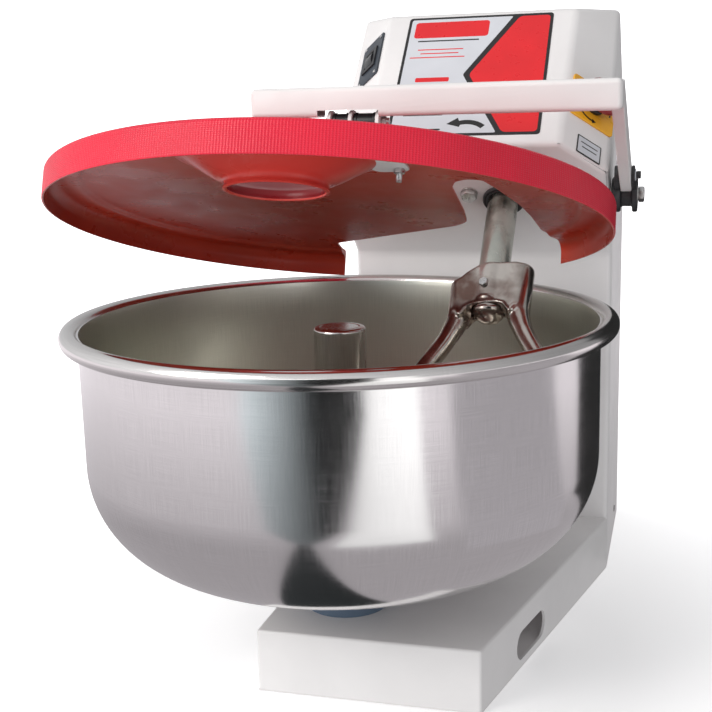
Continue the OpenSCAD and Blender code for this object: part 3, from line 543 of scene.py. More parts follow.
def hex_head(name, af, h, matrix, mat=ZINC, dome=0.6, washer=0.0):
    """Hex head on z from 0 to h, with turned-off corners and a washer face."""
    o = new_object(name, prism(hexagon(af), 0.8, h), mat, matrix)
    r = af / math.sqrt(3)
    turned = [(0, 0), (r * 1.02, 0), (r * 1.02, h - 0.26 * r * dome), (af / 2 * 0.97, h), (0, h)]
    boolean(o, new_object("cutter", lathe(turned, 48), mat, matrix), op="INTERSECT")
    boolean(o, new_object("washer_face", disc(af * 0.47, 0, 1.0, 0.3), mat, matrix), op="UNION")
    if washer:
        boolean(o, new_object("washer", disc(washer, -1.6, 0, 0.4), mat, matrix), op="UNION")
    add_bevel(o, 0.25, 2)
    return o


# ---------- column and head ----------
def profile(o):
    """The column's side view in (y, z), drawn in by o."""
    s, d, t = UNDER_S + Q2 * o, FRONT_D - Q2 * o, REAR_S - Q2 * o
    return [(COL_Y0 + o, -o), (COL_Y0 + o, s - COL_Y0 - o), ((s - d) / 2, (s + d) / 2),
            (HEAD_Z - o - d, HEAD_Z - o),
            (t - HEAD_Z + o, HEAD_Z - o), (COL_Y1 - o, t - COL_Y1 + o), (COL_Y1 - o, -o)]


def head_solid(o, bevel=0.0):
    """Column and head, drawn in by o, with both chamfers cut."""
    bm = prism(profile(o), COL_X0 + o, COL_X1 - o, matrix=YZ_TO_X)
    for side in (1, -1):
        n = Vector((CH_N[0] * side, CH_N[1], CH_N[2]))
        p = Vector((MID_X + side * (CH_P[0] - MID_X), CH_P[1], CH_P[2])) - n * o
        everything = bm.verts[:] + bm.edges[:] + bm.faces[:]
        bmesh.ops.bisect_plane(bm, geom=everything, plane_co=p, plane_no=n, clear_outer=True)
        bmesh.ops.holes_fill(bm, edges=[e for e in bm.edges if e.is_boundary], sides=0)
    bmesh.ops.recalc_face_normals(bm, faces=bm.faces)
    if bevel:
        edges = [e for e in bm.edges if len(e.link_faces) == 2 and e.calc_face_angle(0) > rad(12)
                 and max(v.co.z for v in e.verts) > 5]
        bmesh.ops.bevel(bm, geom=edges, offset=bevel, segments=5, profile=0.5, affect="EDGES",
                        clamp_overlap=True)
    return bm


skin = new_object("column_and_head", head_solid(0, 6.5), [WHITE])
inner = new_object("inner", head_solid(SHEET), [PLATE_WHITE])
open_foot = block((COL_X0 + 2, COL_Y0 + 2, -8), (COL_X1 - 2, COL_Y1 - 2, 40))
front_door = block((-DOOR_X, COL_Y0 - 5, DOOR_Z0), (DOOR_X, COL_Y0 + 15, DOOR_Z1))
rear_window = block((-45, COL_Y1 - 10, 40), (231, COL_Y1 + 10, 520))
boolean(skin, inner, *[new_object("cut", bm, [WHITE]) for bm in (open_foot, front_door, rear_window)])
boolean(skin, new_object("shaft_hole", disc(19, -6, 8, 0.3, 48), [WHITE], AT_FORK))
boolean(skin, new_object("switch_hole", block((-13, -10, -12), (13, 10, 12)), [WHITE],
                         FLIP @ at_chamfer(*SWITCH_AT)))
piece(skin, "frame", "white_powder_coat", "column_shell")

# small slotted screws low on the column's sides
for i, (x, side) in enumerate(((COL_X1, 1), (COL_X0, -1))):
    at_screw = at(x, 460, 30) @ ry(90 * side)
    screw = new_object(f"side_screw_{i}", disc(4.6, -0.4, 1.7, 0.8, 40), ZINC, at_screw, bevel=0.2)
    boolean(screw, new_object("cut", block((-3.4, -0.5, 0.9), (3.4, 0.5, 3)), ZINC, at_screw @ rz(35)))
    piece(screw, "frame", "zinc_steel")

# ---------- base ----------
SLANT = (COL_X1 - BASE_XR) / (COL_Y0 - BASE_Y0)


def base_plan(o):
    """The base from above, drawn in by o."""
    return [(BASE_XL + o, BASE_Y0 + o), (BASE_XR + SLANT * o - BASE_SKEW * o, BASE_Y0 + o),
            (COL_X1 - BASE_SKEW * o, COL_Y0), (COL_X0 + o, COL_Y0)]


bm = prism(base_plan(0), 2, BASE_H)
edges = [e for e in bm.edges if max(v.co.z for v in e.verts) > 20 and min(v.co.y for v in e.verts) < COL_Y0 - 5]
bmesh.ops.bevel(bm, geom=edges, offset=3.2, segments=4, profile=0.5, affect="EDGES")
tray = new_object("base_tray_skin", bm, [WHITE])


def stadium(length, h, n=14):
    """A slot with round ends."""
    a, r = length / 2 - h / 2, h / 2
    return arc(a, 0, r, -90, 90, n) + arc(-a, 0, r, 90, 270, n)


inner = new_object("inner", prism(base_plan(3), -4, BASE_H - 3), [PLATE_WHITE])
slot_r = new_object("slot_r", prism(stadium(86, 32), -8, 8), [WHITE], at(191.3, 46, 25) @ rz(76.97) @ rx(90))
slot_l = new_object("slot_l", prism(stadium(86, 32), -8, 8), [WHITE], at(-70, 46, 25) @ rz(90) @ rx(90))
door = new_object("door", block((-DOOR_X, COL_Y0 - 4, DOOR_Z0), (DOOR_X, COL_Y0 + 6, DOOR_Z1)), [WHITE])
well = new_object("well", disc(20, 50, 80, 0.2, 48), [WHITE])
boolean(tray, inner, slot_r, slot_l, door, well)
piece(tray, "frame", "white_powder_coat", "base_tray")

# ---------- bowl, rim and post ----------
CURVE_R, CURVE_Z = WALL - ROUND, BOWL_Z + ROUND
outer = [(0, BOWL_Z), (90, BOWL_Z), (91.5, BOWL_Z - 0.8), (93, BOWL_Z), (CURVE_R, BOWL_Z)]
outer += arc(CURVE_R, CURVE_Z, ROUND, -90, 0, 28)[1:]
outer += [(WALL, 300), (WALL, 340), (WALL, RIM_Z - 9), (WALL + 0.3, RIM_Z - 3), (WALL + 1.2, RIM_Z + 3)]
inside = [(WALL - 1.2, RIM_Z + 3), (WALL - SHEET, RIM_Z - 3), (WALL - SHEET, 340), (WALL - SHEET, 300)]
inside += arc(CURVE_R, CURVE_Z, ROUND - SHEET, 0, -90, 28)
inside += [(90, BOWL_Z + SHEET), (0, BOWL_Z + SHEET)]
sides = [0] * len(outer) + [1] * len(inside)
bowl = new_object("bowl_shell", lathe(outer + inside, 192, mats=sides), [STAINLESS, STAINLESS_IN], smooth=30)
piece(bowl, "bowl", "brushed_stainless", "bowl", "bowl_base")

roll = arc(RIM_R - TUBE, RIM_Z, TUBE, 180, -128, 40)
roll_in = arc(RIM_R - TUBE, RIM_Z, TUBE - 1.6, -128, 176, 36)
rim = new_object("rolled_rim", lathe(roll + roll_in, 192), [RIM], smooth=40)
piece(rim, "bowl", "brushed_stainless", "bowl_rim")

FLOOR_Z, POST_EDGE = BOWL_Z + SHEET, 3.4
post_profile = [(0, FLOOR_Z), (66.5, FLOOR_Z), (68, FLOOR_Z + 1), (68, FLOOR_Z + 4), (67, FLOOR_Z + 5),
                (34, FLOOR_Z + 5)]
post_profile += arc(34, FLOOR_Z + 12, 7, -90, -180, 6)[1:] + [(POST_R, 200), (POST_R, POST_Z - 4)]
post_profile += arc(POST_R - POST_EDGE, POST_Z - POST_EDGE, POST_EDGE, 0, 90, 6)
post_profile += [(21, POST_Z), (20.4, POST_Z - 0.7), (19.6, POST_Z - 0.7), (19, POST_Z), (0, POST_Z)]
post = new_object("bowl_post", lathe(post_profile, 96), [POST], smooth=30)
piece(post, "bowl", "brushed_stainless", "centre_post")

# ---------- lid ----------
OPENING = [(-66, 320), (-51, 200), (70, 127), (108, 104), (122, 85), (127, 40), (133, -60), (140, -82),
           (152, -90), (165, -86),
           (173, -55), (186, 10), (191, 60), (194, 128), (207, 156), (211, 181), (216, 320)]


def soften(points, r=7.0, n=4):
    """The outline with its corners rounded."""
    out = []
    for i, p in enumerate(points):
        a, b, c = Vector(points[i - 1]), Vector(p), Vector(points[(i + 1) % len(points)])
        k = min(r, (a - b).length * 0.4, (c - b).length * 0.4)
        p0, p1 = b + (a - b).normalized() * k, b + (c - b).normalized() * k
        for j in range(n + 1):
            t = j / n
            out.append(tuple(p0 * (1 - t) ** 2 + b * 2 * t * (1 - t) + p1 * t * t))
    return out


UP = LID_H - 28.0          # the outlines below are for a lid 28 mm high
top = [(LID_R - 2, 0.0), (LID_R - 0.6, 0.0), (LID_R, 0.8), (LID_R, 12), (LID_R, 23 + UP)]
top += arc(LID_R - 5, 23 + UP, 5, 0, 90, 6)[1:]
top += [(262, 27.6 + UP), (250, 26.2 + UP), (200, 26 + UP), (100, 26 + UP), (0, 26 + UP)]
under = [(0, 24 + UP), (100, 24 + UP), (200, 24 + UP), (238, 24 + UP), (241, 23.6 + UP), (243.5, 22.4 + UP),
         (246, 21.2 + UP), (249, 20.8 + UP), (258, 20.8 + UP)]
under += arc(262, 8.0 + UP, 12.8, 90, 0, 8) + [(LID_R - 2, 4)]
sides = [1] + [0] * (len(top) - 2) + [1] * (len(under) + 1)
lid = new_object("lid_shell", lathe(top + under, 192, mats=sides), [LID_RED, LID_RED_SHADED], AT_LID, smooth=30)
mouth = new_object("mouth", prism(soften(OPENING), -10, 60, mat=1), [LID_RED, LID_RED_SHADED], AT_LID)
AT_FUNNEL = AT_LID @ at(*FUNNEL) @ Matrix.Diagonal((FUNNEL_WIDE, 1, 1, 1))
hole = new_object("hole", lathe([(0, 10), (FUNNEL_R, 10), (FUNNEL_R, 45), (0, 45)], 72),
                  [LID_RED_SHADED, LID_RED_SHADED], AT_FUNNEL)
boolean(lid, mouth, hole)
f_top = [(69, 26.4), (66, 25.6), (62, 22.6), (44.5, 9.8), (39.5, 6.4), (35.6, 5.0), (33.9, 3.6),
         (33.2, 1.0), (33.0, -3.6)]
f_low = [(33.6, -5.0), (35.0, -5.4), (36.2, -4.6), (36.2, -3.2), (35.4, -2.0), (35.7, 1.6), (37.4, 3.4),
         (41.5, 4.8), (46.5, 7.8), (64.5, 20.8), (67.5, 23.0), (71, 23.9), (72, 25.0)]
sides = [0] * (len(f_top) - 1) + [1] * (len(f_low) + 1)
funnel_outline = [(r, z + UP) for r, z in f_top + f_low]
funnel = new_object("lid_funnel", lathe(funnel_outline, 96, mats=sides), [FUNNEL_SHADED_INSIDE, FUNNEL_RED],
                    AT_FUNNEL, smooth=50)
piece(lid, "lid", "red_lid", "lid_band")
piece(funnel, "lid", "red_brown_lid", "lid_plate")

# ---------- lid arms ----------
XL, XR = 2 * MID_X - 278, 278.0
ARM_W, CUT = 12.5, 14.4
bar = new_object("lid_bar", block((XL, BAR_Y - 15, BAR_Z - 15), (XR, BAR_Y + 15, BAR_Z + 15)), [WHITE],
                 bevel=5.5, segments=5)
apply(bar)
bar_hollow = block((XL + 12, BAR_Y - 13, BAR_Z - 13), (XR - 12, BAR_Y + 13, BAR_Z + 13))
bar_notch = block((-21, BAR_Y - 20, BAR_Z - 20), (42, BAR_Y + 20, BAR_Z - 8))
boolean(bar, new_object("cut", bar_hollow, [WHITE]), new_object("cut", bar_notch, [WHITE]))
piece(bar, "lid", "white_powder_coat", "lid_arm")
for i, side in enumerate((1, -1)):
    at_arm = hand(side) @ at(XR - ARM_W, PIVOT_Y, PIVOT_Z) @ rx(-ARM_T)
    outline = rounded(-ARM_L - 1, -3, -15.2, 21, 1.6)
    arm = new_object(f"lid_side_arm_{i}", prism(outline, 0, ARM_W, matrix=YZ_TO_X), [WHITE], at_arm)
    above = block((-400, -100, BAR_Z + CUT), (500, 200, BAR_Z + 80))
    beyond = block((-400, -100, BAR_Z - 60), (500, BAR_Y - CUT, BAR_Z + 80))
    boolean(arm, new_object("cut", above, [WHITE]), new_object("cut", beyond, [WHITE]))
    add_bevel(arm, 1.8, 3)
    piece(arm, "lid", "white_powder_coat")
    # black spool: two flanges with lugs that clamp the arm
    at_pivot = hand(side) @ at(0, PIVOT_Y, PIVOT_Z)
    outline = [(6.1, 255.4), (17.6, 255.4), (20, 257), (20, 263.6), (18.8, 265.2), (15.2, 265.6), (13.6, 267),
               (13.5, 272), (13.6, 277), (14.8, 278.2), (19, 278.3), (20, 279.2), (20, 282.8),
               (19, 284), (12, 284),
               (11.4, 283.2), (6.1, 283.2)]
    spool = new_object(f"pivot_spool_{i}", lathe(outline, 72), [BLACK], at_pivot @ ALONG_X, smooth=38)
    piece(spool, "lid", "black_plastic", *(["pivot_spools"] if i == 0 else []))
    for k, (x0, width) in enumerate(((259.7, 5.4), (278.4, 3.6))):
        outline = arc(-38, 8, 10.5, 110, 250, 12) + [(-2, -4), (-2, 18.5)]
        at_lug = hand(side) @ at(x0, PIVOT_Y, PIVOT_Z) @ rx(-ARM_T)
        lug = new_object(f"spool_lug_{i}_{k}", prism(outline, 0, width, matrix=YZ_TO_X), [BLACK],
                         at_lug, bevel=0.9)
        piece(lug, "lid", "black_plastic")
    at_clamp = at_pivot @ rx(-ARM_T) @ at(0, -38, 8) @ ALONG_X
    nut = hex_head(f"clamp_nut_{i}", 8, 5.2, at_clamp @ at(0, 0, 283.2), mat=BLACK)
    piece(nut, "lid", "black_plastic")
    washer = new_object(f"clamp_washer_{i}", disc(6.4, 282, 283.2, 0.3, 40), [SILVER], at_clamp)
    piece(washer, "lid", "white_powder_coat")
    at_cap = at_pivot @ rx(-ARM_T) @ at(265.4, -78, 9) @ ry(-90)
    cap = new_object(f"arm_screw_{i}", disc(4.4, 0, 2.2, 1.0, 40), [SILVER], at_cap, bevel=0.2)
    piece(cap, "lid", "white_powder_coat")
    bolt = hex_head(f"pivot_hex_{i}", 15.6, 7, at_pivot @ ALONG_X @ at(0, 0, 284.6), washer=10.5)
    for name, shape in ((f"pivot_pin_{i}", disc(6.0, 244, 285, 0.4, 48)),
                        ("flange", disc(9, 253.3, 255.2, 0.4, 48))):
        boolean(bolt, new_object(name, shape, [ZINC], at_pivot @ ALONG_X), op="UNION")
    piece(bolt, "frame", "zinc_steel", *(["pivot_bolts"] if i == 0 else []))

# ---------- hinge plates and rollers in the bar's notch ----------
def lid_top(y):
    """Height of the plate's upper face at the world's y, with the lid at rest."""
    slope = math.tan(rad(-LID_OPEN))
    return LID_Z + (y - LID_Y) * slope + (LID_H - 2.0) / math.cos(rad(LID_OPEN))


bm = bmesh.new()
EAR_R, SUNK = 14, 0.6
for x in (-12, 10, 38):
    outline = [(y, lid_top(y) - SUNK) for y in (BAR_Y - EAR_R, BAR_Y + EAR_R)] + [(BAR_Y + EAR_R, HINGE_Z - 2)]
    outline += arc(BAR_Y, HINGE_Z - 2, EAR_R, 0, 180, 16)[1:]
    prism(outline, x, x + 4, bm, matrix=YZ_TO_X)
plates = new_object("hinge_plates", bm, [WHITE], bevel=0.7, segments=2)
piece(plates, "lid", "white_powder_coat", "lid_bracket")
for i, x in enumerate((-12, 38)):
    shape = block((x - 7, 30, LID_H - 2.2), (x + 15, 76, LID_H + 0.8))
    foot = new_object(f"hinge_foot_{i}", shape, [WHITE], AT_LID, bevel=0.6)
    piece(foot, "lid", "white_powder_coat")
    for k, y in enumerate((40, 66)):
        shape = disc(3.2, LID_H + 0.6, LID_H + 2.4, 0.8, 32)
        rivet = new_object(f"hinge_foot_rivet_{i}_{k}", shape, [ZINC], AT_LID @ at(x + 10.4, y, 0))
        piece(rivet, "lid", "zinc_steel")

# a small plate under the lid, with the end of its bolt
PAD_Z0, PAD_Z1 = LID_H - 6.4, LID_H - 3.9
pad = new_object("lid_backing_plate", prism(rounded(77, -172, 110, -127, 9), PAD_Z0, PAD_Z1), [WHITE],
                 AT_LID, bevel=0.6)
piece(pad, "lid", "white_powder_coat")
at_bolt = AT_LID @ at(102, -138, PAD_Z0) @ rx(180)
bolt = hex_head("lid_backing_nut", 9, 4.4, at_bolt)
boolean(bolt, new_object("stem", disc(2.6, -0.5, 12, 0.6, 32), [ZINC], at_bolt), op="UNION")
piece(bolt, "lid", "zinc_steel")

for i, (x0, x1) in enumerate(((-7.6, 9.8), (14.2, 37.8))):
    outline = [(4.2, x0), (8.6, x0), (9.6, x0 + 1), (9.6, x0 + 3.4), (8.8, x0 + 4),
               (8.8, x1 - 4), (9.6, x1 - 3.4), (9.6, x1 - 1), (8.6, x1), (4.2, x1)]
    roller = new_object(f"hinge_roller_{i}", lathe(outline, 48), [BLACK],
                        at(0, BAR_Y, HINGE_Z) @ ALONG_X, smooth=38)
    piece(roller, "lid", "black_plastic")
nut = hex_head("hinge_nut", 9.2, 5, at(42.2, BAR_Y, HINGE_Z) @ ALONG_X, washer=5.2)
piece(nut, "lid", "zinc_steel")
bolt = hex_head("hinge_bolt_head", 9.2, 4, at(-12, BAR_Y, HINGE_Z) @ ry(-90), mat=BLACK)
piece(bolt, "lid", "black_plastic")
pin = new_object("hinge_pin", disc(3.8, -16, 50, 0.8, 40), [ZINC], at(0, BAR_Y, HINGE_Z) @ ALONG_X)
piece(pin, "lid", "zinc_steel")

# ---------- fork ----------
bm = bmesh.new()
prong = [(32, -140), (33, -156), (35.5, -172), (41.5, -188), (50, -205), (63, -227), (76, -249), (85, -274),
         (87, -304), (84, -338), (77, -370)]
for side in (1, -1):
    line = smooth_line([(side * r, 0, z) for r, z in prong], 5)
    n = len(line)
    # thicker by the yoke, over the first third
    radii = [PRONG_R + 0.8 + 3.8 * max(0, 1 - i / (n * 0.3)) ** 0.7 for i in range(n)]
    tube(line, radii, 28, bm)
    ball(bm, (side * prong[-1][0], 0, prong[-1][1]), PRONG_R + 0.4)
    cheek_z = -105.5 if side > 0 else -119.0
    cheek = [(0, -165), (16, -165), (16.3, cheek_z - 6)] + arc(12.3, cheek_z - 4, 4, 0, 90, 5) + [(0, cheek_z)]
    lathe(cheek, 48, bm, matrix=Matrix.Translation((side * 31, 0, 0)))
front = [(-32, -170), (-32, -119), (-26, -113), (-14, -105.5), (0, -104), (28, -104.5), (32, -105.5),
         (32, -170), (27, -172), (21, -162), (12, -159),
         (-12, -159), (-21, -162), (-27, -172)]
prism(front, -16.4, 16.4, bm, matrix=XZ_TO_Y)
lathe([(0, -152), (19.5, -152), (19.5, -112), (19, -104), (0, -104)], 64, bm)
yoke = new_object("fork_head_and_prongs", bm, [FORGED], AT_YOKE)
remesh = yoke.modifiers.new("remesh", "REMESH")
remesh.mode, remesh.voxel_size = "VOXEL", 0.0012
soft = yoke.modifiers.new("smooth", "SMOOTH")
soft.factor, soft.iterations = 0.7, 26
apply(yoke, 60)
recess = [(0, -185), (19.6, -185), (19.2, -166), (18.4, -160.6), (15.8, -158.6), (15.6, -150), (0, -150)]
boolean(yoke, new_object("recess", lathe(recess, 64), [FORGED], AT_YOKE))
boolean(yoke, new_object("bore", disc(SHAFT_R + 0.02, -147.8, -60, 0.01, 64), [FORGED], AT_YOKE))
shade(yoke, 50)
piece(yoke, "fork", "polished_steel", "fork_yoke", "fork_prongs")
dome = [(0, -173.6), (4, -173.2), (9.4, -171.2), (14.2, -168.0), (17.2, -164.0), (17.8, -161.4), (16.8, -159.6),
        (15.2, -158.8), (15.2, -150.4), (0, -150.4)]
nut = new_object("fork_dome_nut", lathe(dome, 64), [FORGED], AT_YOKE, smooth=50)
piece(nut, "fork", "polished_steel", "fork_nut")
at_screw = AT_YOKE @ rz(-97) @ at(0, 0, -134) @ ry(90) @ at(0, 0, 17.4)
screw = hex_head("fork_lock_screw", 9.5, 5.4, at_screw, washer=6.2)
piece(screw, "fork", "zinc_steel", "fork_set_screw")

# gearbox bolts with washers and the shaft seal
for i in range(4):
    at_bolt = AT_FORK @ rz(198.3 + 90 * i) @ at(41, 0, -2) @ rx(180) @ rz(20 * i)
    bolt = hex_head(f"gearbox_bolt_{i}", 17, 6.4, at_bolt)
    boolean(bolt, new_object("washer", disc(10, -1.9, 0.1, 0.5, 48), [ZINC], at_bolt), op="UNION")
    piece(bolt, "frame", "zinc_steel", *(["gearbox_bolts"] if i == 0 else []))
seal_outline = [(17.7, -0.2), (17.7, -3.2), (18.6, -4.2), (20.0, -4.2), (20.6, -2.6), (21.6, -2.6), (22, -4),
                (23.2, -4), (24, -3), (24, -0.2)]
seal = new_object("shaft_seal_ring", lathe(seal_outline, 72), [RUBBER], AT_FORK, smooth=38)
piece(seal, "frame", "black_rubber", "shaft_seal")

# ---------- front label: plain shapes, no lettering ----------
AT_LABEL = at(93.5, 255.5, 255.5 + FRONT_D) @ rx(45)


def layers(name, shapes, matrix, body, slot, node, mats):
    """Thin printed shapes, each (outline, bottom, top, material number), as one piece."""
    bm = bmesh.new()
    for outline, z0, z1, m in shapes:
        prism(outline, z0, z1, bm, mat=m)
    o = new_object(name, bm, mats, matrix)
    return piece(o, body, slot, node)


arrow_head = [(-7.4, -70.4), (-19.5, -79.6), (-4.6, -84.6)]
arrow = arc(3, -105, 31, 46, 106, 10) + arrow_head + arc(3, -105, 24.5, 106, 46, 10)
shapes = [
    (rounded(-87, -97.5, 87, 97.5, 4), 0, 0.6, 2),
    (soften([(-83.5, 94), (39.5, 94), (-10.5, -1.6), (38, -94), (-83.5, -94)], 3), 0.6, 0.68, 0),
    (soften([(47.5, 93.5), (83.5, 93.5), (83.5, -93.5), (44.5, -93.5), (-3.2, -1.6)], 5), 0.6, 0.68, 1),
    (rounded(-78, 62, 12, 89, 4), 0.68, 0.74, 1),
    (rounded(-72, 55.5, 2, 57.6, 0.8), 0.68, 0.74, 2),
    (rounded(-70, 41, -15, 42.6, 0.7), 0.68, 0.74, 1),
    (rounded(-66, 34.5, -20, 36.1, 0.7), 0.68, 0.74, 1),
    (rounded(-78, 28, -12, 29.6, 0.7), 0.68, 0.74, 1),
    (rounded(-66, -12, -26, -5, 1.6), 0.68, 0.74, 1),
    (rounded(-72, -66, -26, -63.6, 0.8), 0.68, 0.74, 2),
    (rounded(-60, -89, -26, -86.6, 0.8), 0.68, 0.74, 2),
    (arrow, 0.68, 0.76, 2)]
PRINTS = [SILVER, LABEL_RED, LABEL_BLACK]
layers("front_label_print", shapes, AT_LABEL, "frame", "label_silver", "front_label", PRINTS)
layers("rating_label_print",
       [(rounded(-12.5, -17, 12.5, 17, 1), 0, 0.6, 2), (rounded(-11, -15.5, 11, 15.5, 0.8), 0.6, 0.7, 0),
        (rounded(-2.6, -11, -1.2, 10, 0.5), 0.7, 0.76, 2), (rounded(3.6, -12, 5.0, 12, 0.5), 0.7, 0.76, 2)],
       at_chamfer(*RATING_AT), "frame", "label_silver", "rating_label", PRINTS)

# ---------- stop button ----------
AT_STOP = at_chamfer(*STOP_AT)
plate = new_object("stop_plate_skin", prism(rounded(-30, -31, 30, 31, 4), 0, 2.5), [YELLOW], AT_STOP, bevel=0.6)
boolean(plate, new_object("cut", disc(11.2, -5, 8, 0.1, 48), [YELLOW], AT_STOP))
piece(plate, "frame", "yellow_plate", "stop_plate")


def turn_mark(a0, a1, r=24.5, w=1.1):
    """A curved arrow round the button, from a0 to a head past a1."""
    tip = [polar(r + 3, a1 - 3), polar(r, a1 + 9), polar(r - 3, a1 - 3)]
    return arc(0, 0, r + w, a0, a1 - 5, 8) + tip + arc(0, 0, r - w, a1 - 5, a0, 8)


bm = bmesh.new()
for a in (20, 140, 260):
    prism(turn_mark(a, a + 45), 2.5, 2.62, bm)
piece(new_object("stop_plate_marks", bm, [LABEL_BLACK], AT_STOP), "frame", "yellow_plate")
collar_outline = [(5.2, -20), (10.8, -20), (10.8, 2.6), (14, 2.6), (14, 6), (13, 7.4), (5.2, 7.4)]
collar = new_object("stop_collar", lathe(collar_outline, 64), [BLACK], AT_STOP, smooth=38)
boolean(collar, new_object("contact_block", block((-15, -15, -52), (15, 15, -19)), [BLACK], AT_STOP,
                           bevel=1.2), op="UNION")
piece(collar, "frame", "black_plastic", "stop_body")
cap = [(0, -7), (5, -7), (5, 12.5), (16.6, 12.5), (17.4, 13), (22.9, 17.2), (23.5, 18), (23.5, 21.6),
       (22.6, 23.4), (18, 25.6), (10, 26.6), (0, 26.8)]
button = new_object("stop_mushroom", lathe(cap, 72), [BUTTON], AT_STOP, smooth=38)
piece(button, "stop_button", "red_button", "stop_button")

# ---------- switch on the left chamfer ----------
AT_SWITCH = FLIP @ at_chamfer(*SWITCH_AT)
plate = new_object("switch_plate_skin", prism(rounded(-35, -21, 35, 21, 3), 0, 2), [SLATE],
                   AT_SWITCH, bevel=0.5)
boolean(plate, new_object("cut", block((-13, -10, -5), (13, 10, 10)), [SLATE], AT_SWITCH))
piece(plate, "frame", "dark_plate", "switch_plate")
for i, (u, v) in enumerate(((-30, -16), (30, -16), (-30, 16), (30, 16))):
    rivet = new_object(f"switch_plate_rivet_{i}", disc(2.2, 1.9, 3.0, 0.5, 32), [ZINC], AT_SWITCH @ at(u, v, 0))
    piece(rivet, "frame", "zinc_steel")

# ---------- rear cover: pressed louvre hoods, gland ----------
bm = bmesh.new()
hood = [(0.4, 0.0), (0.4, 9.0), (1.6, 8.6), (3.8, 5.4), (4.4, 3.0), (4.0, 2.4), (2.6, 5.0),
        (1.2, 6.6), (1.0, 0.0)]
for i in range(9):
    for x in (0, 110):
        prism([(COL_Y1 + 1.2 + a, 200 + 14 * i + b) for a, b in hood], x + 1, x + 75, bm, matrix=YZ_TO_X)
piece(new_object("louvre_hoods", bm, [PLATE_WHITE], bevel=0.3, segments=2), "frame", "white_powder_coat")
AT_GLAND = at(200, COL_Y1 + 1.5, 75) @ rx(-90)
gland = hex_head("gland_body", 24, 7, AT_GLAND, mat=BLACK)
outline = [(5.5, 6.5), (10.2, 6.5), (10.5, 7.5), (10.5, 9), (9.8, 9.5), (9.8, 10.5), (10.5, 11), (10.5, 12.5),
           (9.8, 13), (9.8, 14), (10.4, 14.5), (10.2, 16.5), (8.6, 19), (5.5, 19)]
boolean(gland, new_object("cap", lathe(outline, 48), [BLACK], AT_GLAND), op="UNION")
piece(gland, "frame", "black_plastic", "cable_gland")

# ---------- CAD nodes that stay: finish by slot, edges broken ----------
slots = {s["node"]: s["material_slot"] for s in frame["record"]["subparts"]}
OWN = dict(bowl_pedestal=BLUE_GREY, bowl_flange=PLAIN, rear_cover=PLATE_WHITE)
BROKEN = dict(bottom_plate=0.6, rear_cover=0.4, bowl_pedestal=1.2, bowl_flange=1.0, bowl_bolts=0.4,
              switch_body=0.5, switch_rocker=0.6, frame_screws=0.3)
for name, o in frame["nodes"].items():
    if o.hide_render:
        continue
    o.data.materials.clear()
    o.data.materials.append(OWN.get(name, BY_SLOT[slots[name]]))
    for poly in o.data.polygons:
        poly.material_index = 0
    if name in BROKEN:
        add_bevel(o, BROKEN[name], 2, 35, weld=True)

# ---------- studio ----------
def away(m, r0, r1):
    """0 near the mixer and 1 far from it, on the floor."""
    flat = m.node("VectorMath")
    flat.operation = "LENGTH"
    m.put(flat.inputs[0], m.node("CombineXYZ", X=m.xyz.outputs[0], Y=m.xyz.outputs[1], Z=0.0).outputs[0])
    return m.span(flat.outputs["Value"], 0.0, 1.0, r0, r1)


floor_mat = Mat("studio_floor", (0.9, 0.9, 0.905), 0.6)
floor_mat.colour(floor_mat.mix(floor_mat.span(floor_mat.noise(2), 0, 1), (0.89, 0.89, 0.895),
                               (0.91, 0.91, 0.915)))
floor_mat.p.inputs["Emission Color"].default_value = (1, 1, 1, 1)
# painted light: the floor glows weakly near the mixer and fully far from it, so it turns white away from the
# mixer
painted_floor_glow = floor_mat.math("MULTIPLY_ADD", away(floor_mat, 0.3, 1.1), 0.7, 0.3)
floor_mat.put(floor_mat.p.inputs["Emission Strength"], painted_floor_glow)
FLOOR_HALF, BACKDROP_R = 12000, 11000
floor = new_object("floor", block((-FLOOR_HALF, -FLOOR_HALF, -12), (FLOOR_HALF, FLOOR_HALF, -0.5)),
                   [floor_mat.m])
# only the camera sees the floor and the backdrop: what the steel mirrors is the cards below
floor.visible_glossy = floor.visible_diffuse = False


def glow(name, colour, strength):
    """A softly uneven glowing surface."""
    m = Mat(name, colour, 1.0)
    m.p.inputs["Emission Color"].default_value = (*colour, 1)
    m.put(m.p.inputs["Emission Strength"], m.span(m.noise(0.3), strength, strength * 1.01))
    return m.m


bm = bmesh.new()
ball(bm, (0, 0, 0), BACKDROP_R, 48)
sky = new_object("backdrop", bm, [glow("backdrop_white", (1, 1, 1), 1.1)])
sky.visible_diffuse = sky.visible_glossy = sky.visible_shadow = sky.visible_transmission = False


def reflection_card(name, outline, matrix, lo, hi, x0, x1, tint=(1, 1, 1), radial=False):
    """A card that only mirrors see, glowing lo at x0 and hi at x1, in metres along its own x."""
    o = new_object(name, prism(outline, 0, 2), [card(name + "_glow", lo, hi, x0, x1, tint, radial)], matrix)
    o.visible_camera = o.visible_diffuse = o.visible_shadow = o.visible_transmission = False


def wedge(r0, r1, a0, a1, b0=None, b1=None, n=12):
    """A sector of the floor round the bowl; angles from -Y towards +X, at the near and the far end."""
    b0, b1 = a0 if b0 is None else b0, a1 if b1 is None else b1
    a = [a0 + (a1 - a0) * i / n for i in range(n + 1)]
    b = [b0 + (b1 - b0) * i / n for i in range(n + 1)]
    return ([(r0 * math.sin(rad(t)), -r0 * math.cos(rad(t))) for t in a]
            + [(r1 * math.sin(rad(t)), -r1 * math.cos(rad(t))) for t in reversed(b)])


def wall(x0, x1, z0, z1):
    """An upright card's outline, before it is stood up."""
    return [(x0, z0), (x1, z0), (x1, z1), (x0, z1)]


COOL, WARM = (0.86, 0.96, 1.0), (1.0, 0.945, 0.985)
